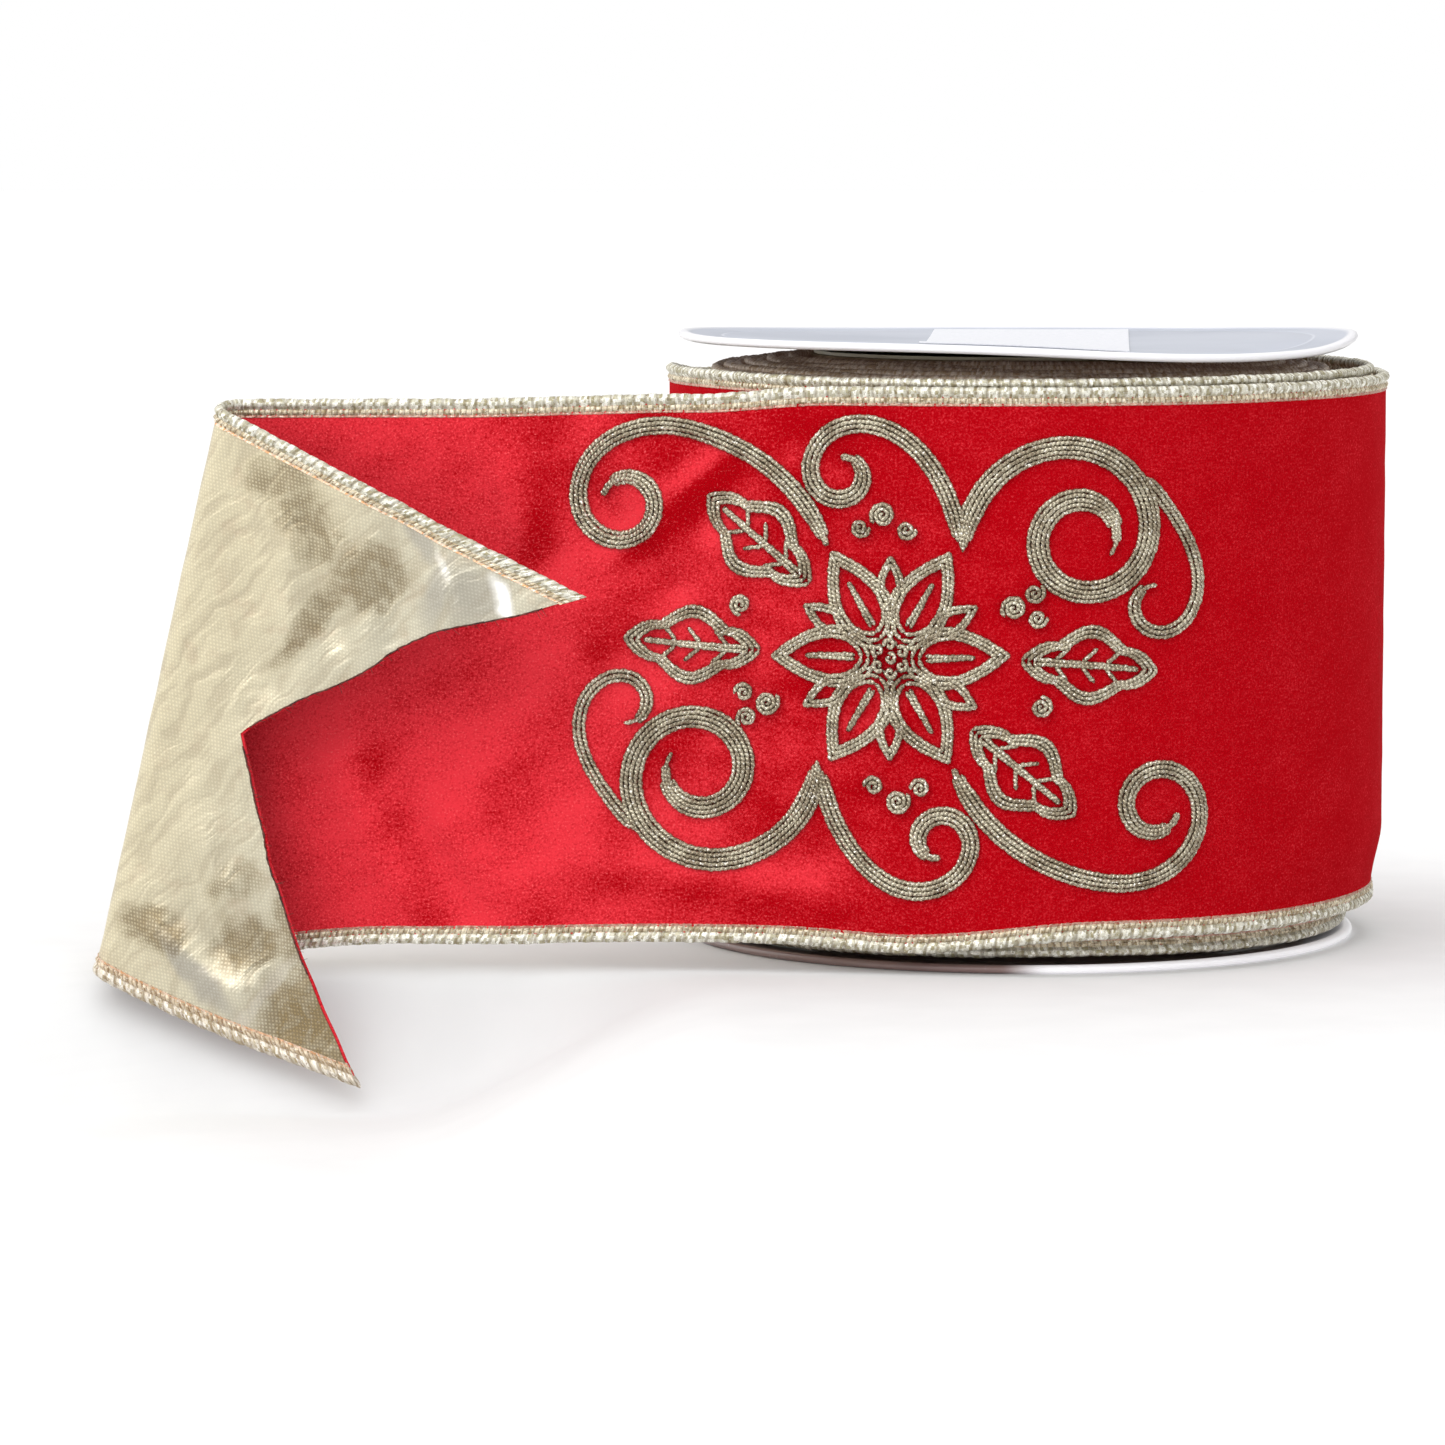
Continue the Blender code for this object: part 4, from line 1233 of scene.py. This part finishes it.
def leaf_strands(u, v, heading):
    stem, heading = (u * MM, v * MM), math.radians(heading)
    made = []
    for i in range(3):
        outline = holly(LEAF_LENGTH, LEAF_HALF_WIDTH, i * CORD_PITCH)
        made.append((turned(outline, stem, heading), 0.12 * i))
    t = np.linspace(0, 1, 40)
    for side in (-0.42, 0.42):
        made.append((turned(np.stack([2.5 + 19 * t, side * (1 - 0.7 * t)], -1) * MM, stem, heading), 0.1))
        for root in (6.0, 11.0, 15.5):
            vein = np.stack([root + 2.6 * t, math.copysign(1, side) * (0.5 + 2.6 * t)], -1) * MM
            made.append((turned(vein, stem, heading), 0.0))
    return made


def both_ways(strands):
    """The strands and their copy turned half round the middle of the motif."""
    return strands + [(-line, lift) for line, lift in strands]


def tendril_strands():
    long_curl = curl((-11.5, 19.5), 112, 102 * MM, lambda t: -26 - 310 * np.maximum(t - 0.28, 0) ** 1.3)
    side_curl = curl((46.5, 32.0), -48, 50 * MM, lambda t: 12 + 340 * np.maximum(t - 0.12, 0) ** 1.5)
    top_curl = curl((12.6, 20.5), 97, 66 * MM, lambda t: -30 - 300 * t ** 2.2)
    return both_ways(band(long_curl, 4) + band(side_curl, 3) + band(top_curl, 4))


def berry_strands():
    made = [(coil(r * MM) + (u * MM, v * MM), 0.5) for u, v, r in BERRIES]
    return both_ways(made)


def resampled(line, step):
    length = np.concatenate([[0], np.cumsum(np.linalg.norm(np.diff(line, axis=0), axis=1))])
    count = max(int(length[-1] / step), 6)
    s = np.linspace(0, length[-1], count)
    return np.stack([np.interp(s, length, line[:, i]) for i in range(2)], -1), s


def cord_mesh(line, lift, rng):
    """A two-ply twisted cord laid on the velvet along line; returns points, faces and UVs."""
    line, s = resampled(line, CORD_STEP)
    side = square_to(line)
    theta = circle(CORD_CORNERS)
    phase = rng.uniform(0, TAU)
    ply = 1 + 0.13 * np.cos(2 * (theta[None, :] - TAU * s[:, None] / (2.9 * MM)) + phase)
    ends = np.minimum(s, s[-1] - s) / (0.5 * MM)
    radius = CORD_RADIUS * np.sqrt(np.clip(ends, 0.12, 1.0))[:, None] * ply
    radius = radius * (1 + 0.08 * ripple(s + rng.uniform(0, 1), 0 * s, 2.0 * MM, 22, 4))[:, None]
    sway = 0.05 * MM * ripple(s + rng.uniform(0, 1), 0 * s, 3.0 * MM, 21, 4)
    across = sway[:, None] + radius * np.cos(theta)[None, :]
    rise = 0.30 * MM + lift * MM + radius * np.sin(theta)[None, :]
    uv_points = line[:, None, :] + side[:, None, :] * across[..., None]
    points = ribbon_place(
        MOTIF_ALONG - uv_points[..., 0], MOTIF_UP + uv_points[..., 1], VELVET_FACE + rise
    )
    uv = np.stack([
        np.broadcast_to(s[:, None] / MM + rng.uniform(0, 50), across.shape),
        np.broadcast_to(theta[None, :] / TAU, across.shape),
    ], -1)
    points, faces = tube_mesh(points)
    return points, faces, uv.reshape(-1, 2)


def embroidered(name, strands, replaced=None):
    rng = np.random.default_rng(sum(map(ord, name)))
    parts = [cord_mesh(line, lift, rng) for line, lift in strands]
    piece = make_piece(name, *merged(parts), thread, np.concatenate([uv for _, _, uv in parts]))
    follow_peel(piece)
    if replaced:
        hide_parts(replaced)


def make_embroidery():
    scroll = curl((13.2, 19.0), 88, 112 * MM, lambda t: 50 + 118 * t ** 2)
    embroidered("scroll_right", band(scroll, 5), "embroidered_right_scroll")
    embroidered("scroll_left", band(-scroll, 5), "embroidered_left_scroll")
    embroidered("flower", flower_strands(), "embroidered_flower")
    for name, place in LEAVES.items():
        embroidered(name, leaf_strands(*place), f"embroidered_{name}")
    embroidered("tendrils", tendril_strands())
    embroidered("berries", berry_strands())


# ---- stage

FLOOR_DROP = 25.0 * MM
DROP_START, DROP_RUN = 55.0 * MM, 65.0 * MM
DROP_FRONT, DROP_DEPTH = 62.0 * MM, 28.0 * MM
WORLD_TOP, WORLD_FRONT, WORLD_BACK, WORLD_LEFT = 0.55, 0.32, 0.55, 0.75
CAMERA_PLACE = (-0.057, -1.2, 0.162)
CAMERA_PITCH, CAMERA_LENS, CAMERA_SENSOR = 5.8, 154.5, 36.0


def make_stage():
    """A pale floor, which falls away at the front left under the tail's end, hanging lowest of all."""
    paint = Paint("pale floor")
    place = paint.node("TexCoord", output=3)
    grain = paint.noise(place, 60.0, 3.0)
    base = paint.blend(paint.ramp(grain, 0.3, 0.7), (0.73, 0.73, 0.73), (0.75, 0.75, 0.75))
    material = paint.surface(
        base_color=base, roughness=0.95, specular_ior_level=0.0,
        emission_color=(1.0, 1.0, 1.0), emission_strength=0.05,
    )
    reach = np.geomspace(0.2, 9.0, 20)
    x = np.concatenate([-reach[::-1], np.linspace(-0.15, 0.15, 61), reach])
    y = np.concatenate([-reach[::-1], np.linspace(-0.15, 0.15, 121), reach])
    x, y = np.meshgrid(x, y)
    outward_reach = x * PARTING_OUT[0] + y * PARTING_OUT[1]
    front = smooth((outward_reach - DROP_FRONT) / DROP_DEPTH)
    z = -0.05 * MM - FLOOR_DROP * smooth((-x - DROP_START) / DROP_RUN) * front
    points = np.stack([x, y, z], -1).reshape(-1, 3)
    make_piece("floor", points, grid_faces(*x.shape), material, closed=False)


def make_world():
    """White to the camera; to everything else a soft studio, darker behind the camera."""
    world = bpy.data.worlds.new("studio")
    bpy.context.scene.world = world
    world.use_nodes = True
    tree = world.node_tree
    nodes, links = tree.nodes, tree.links
    place = nodes.new("ShaderNodeTexCoord")
    split = nodes.new("ShaderNodeSeparateXYZ")
    links.new(place.outputs["Generated"], split.inputs[0])
    total = None
    for axis, low, high, dark, bright in (
        (2, 0.15, 0.75, 0.0, WORLD_TOP),
        (1, -0.9, 0.5, WORLD_FRONT, WORLD_BACK),
        (0, -0.25, -0.75, 0.0, WORLD_LEFT),
    ):
        ramp = nodes.new("ShaderNodeMapRange")
        ramp.interpolation_type = "SMOOTHSTEP"
        links.new(split.outputs[axis], ramp.inputs[0])
        for i, value in enumerate((low, high, dark, bright), 1):
            ramp.inputs[i].default_value = value
        if total is None:
            total = ramp.outputs[0]
        else:
            add = nodes.new("ShaderNodeMath")
            links.new(total, add.inputs[0])
            links.new(ramp.outputs[0], add.inputs[1])
            total = add.outputs[0]
    path = nodes.new("ShaderNodeLightPath")
    seen = nodes.new("ShaderNodeMix")
    links.new(path.outputs["Is Camera Ray"], seen.inputs[0])
    links.new(total, seen.inputs[2])
    seen.inputs[3].default_value = 1.0
    background = nodes["Background"]
    background.inputs["Color"].default_value = (1.0, 1.0, 1.0, 1.0)
    links.new(seen.outputs[0], background.inputs["Strength"])


def sun_light(name, azimuth, elevation, strength, spread):
    """A distant soft light; azimuth 0 comes from the camera's side, 90 from the right."""
    light = bpy.data.lights.new(name, "SUN")
    light.energy = strength
    light.angle = math.radians(spread)
    lamp = bpy.data.objects.new(name, light)
    bpy.context.scene.collection.objects.link(lamp)
    lamp.rotation_euler = (math.radians(90 - elevation), 0.0, math.radians(azimuth))
    return lamp


def make_lights():
    """The floor has a soft top light of its own and no key light, so its shadows stay soft."""
    make_world()
    key = sun_light("key", -38, 48, 1.35, 45)
    sun_light("fill", 30, 12, 0.55, 60)
    top = sun_light("floor top light", -20, 72, 1.0, 70)
    for light, state in ((key, "EXCLUDE"), (top, "INCLUDE")):
        group = bpy.data.collections.new(f"{light.name} on the floor")
        group.objects.link(bpy.data.objects["floor"])
        group.collection_objects[0].light_linking.link_state = state
        light.light_linking.receiver_collection = group


def make_camera():
    lens = bpy.data.cameras.new("camera")
    lens.sensor_width = CAMERA_SENSOR
    lens.lens = CAMERA_LENS
    lens.clip_end = 50.0
    camera = bpy.data.objects.new("camera", lens)
    bpy.context.scene.collection.objects.link(camera)
    camera.location = CAMERA_PLACE
    camera.rotation_euler = (math.radians(90.0 - CAMERA_PITCH), 0.0, 0.0)
    bpy.context.scene.camera = camera
    bpy.context.scene.view_settings.view_transform = "Standard"


make_webs()
make_bindings()
make_wires()
make_frays()
make_windings()
make_flange("bottom_card", 0.0, shaded_card, False)
make_flange("top_card", TOP_FLANGE_BASE, card, True)
make_label()
make_embroidery()
make_stage()
make_lights()
make_camera()

# the plain pieces inside keep their CAD shape
INSIDE = {"core_tube": kraft, "lower_glue_ring": glue, "upper_glue_ring": glue, "core_tape": tape}
for node, material in INSIDE.items():
    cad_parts[node].data.materials.clear()
    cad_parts[node].data.materials.append(material)
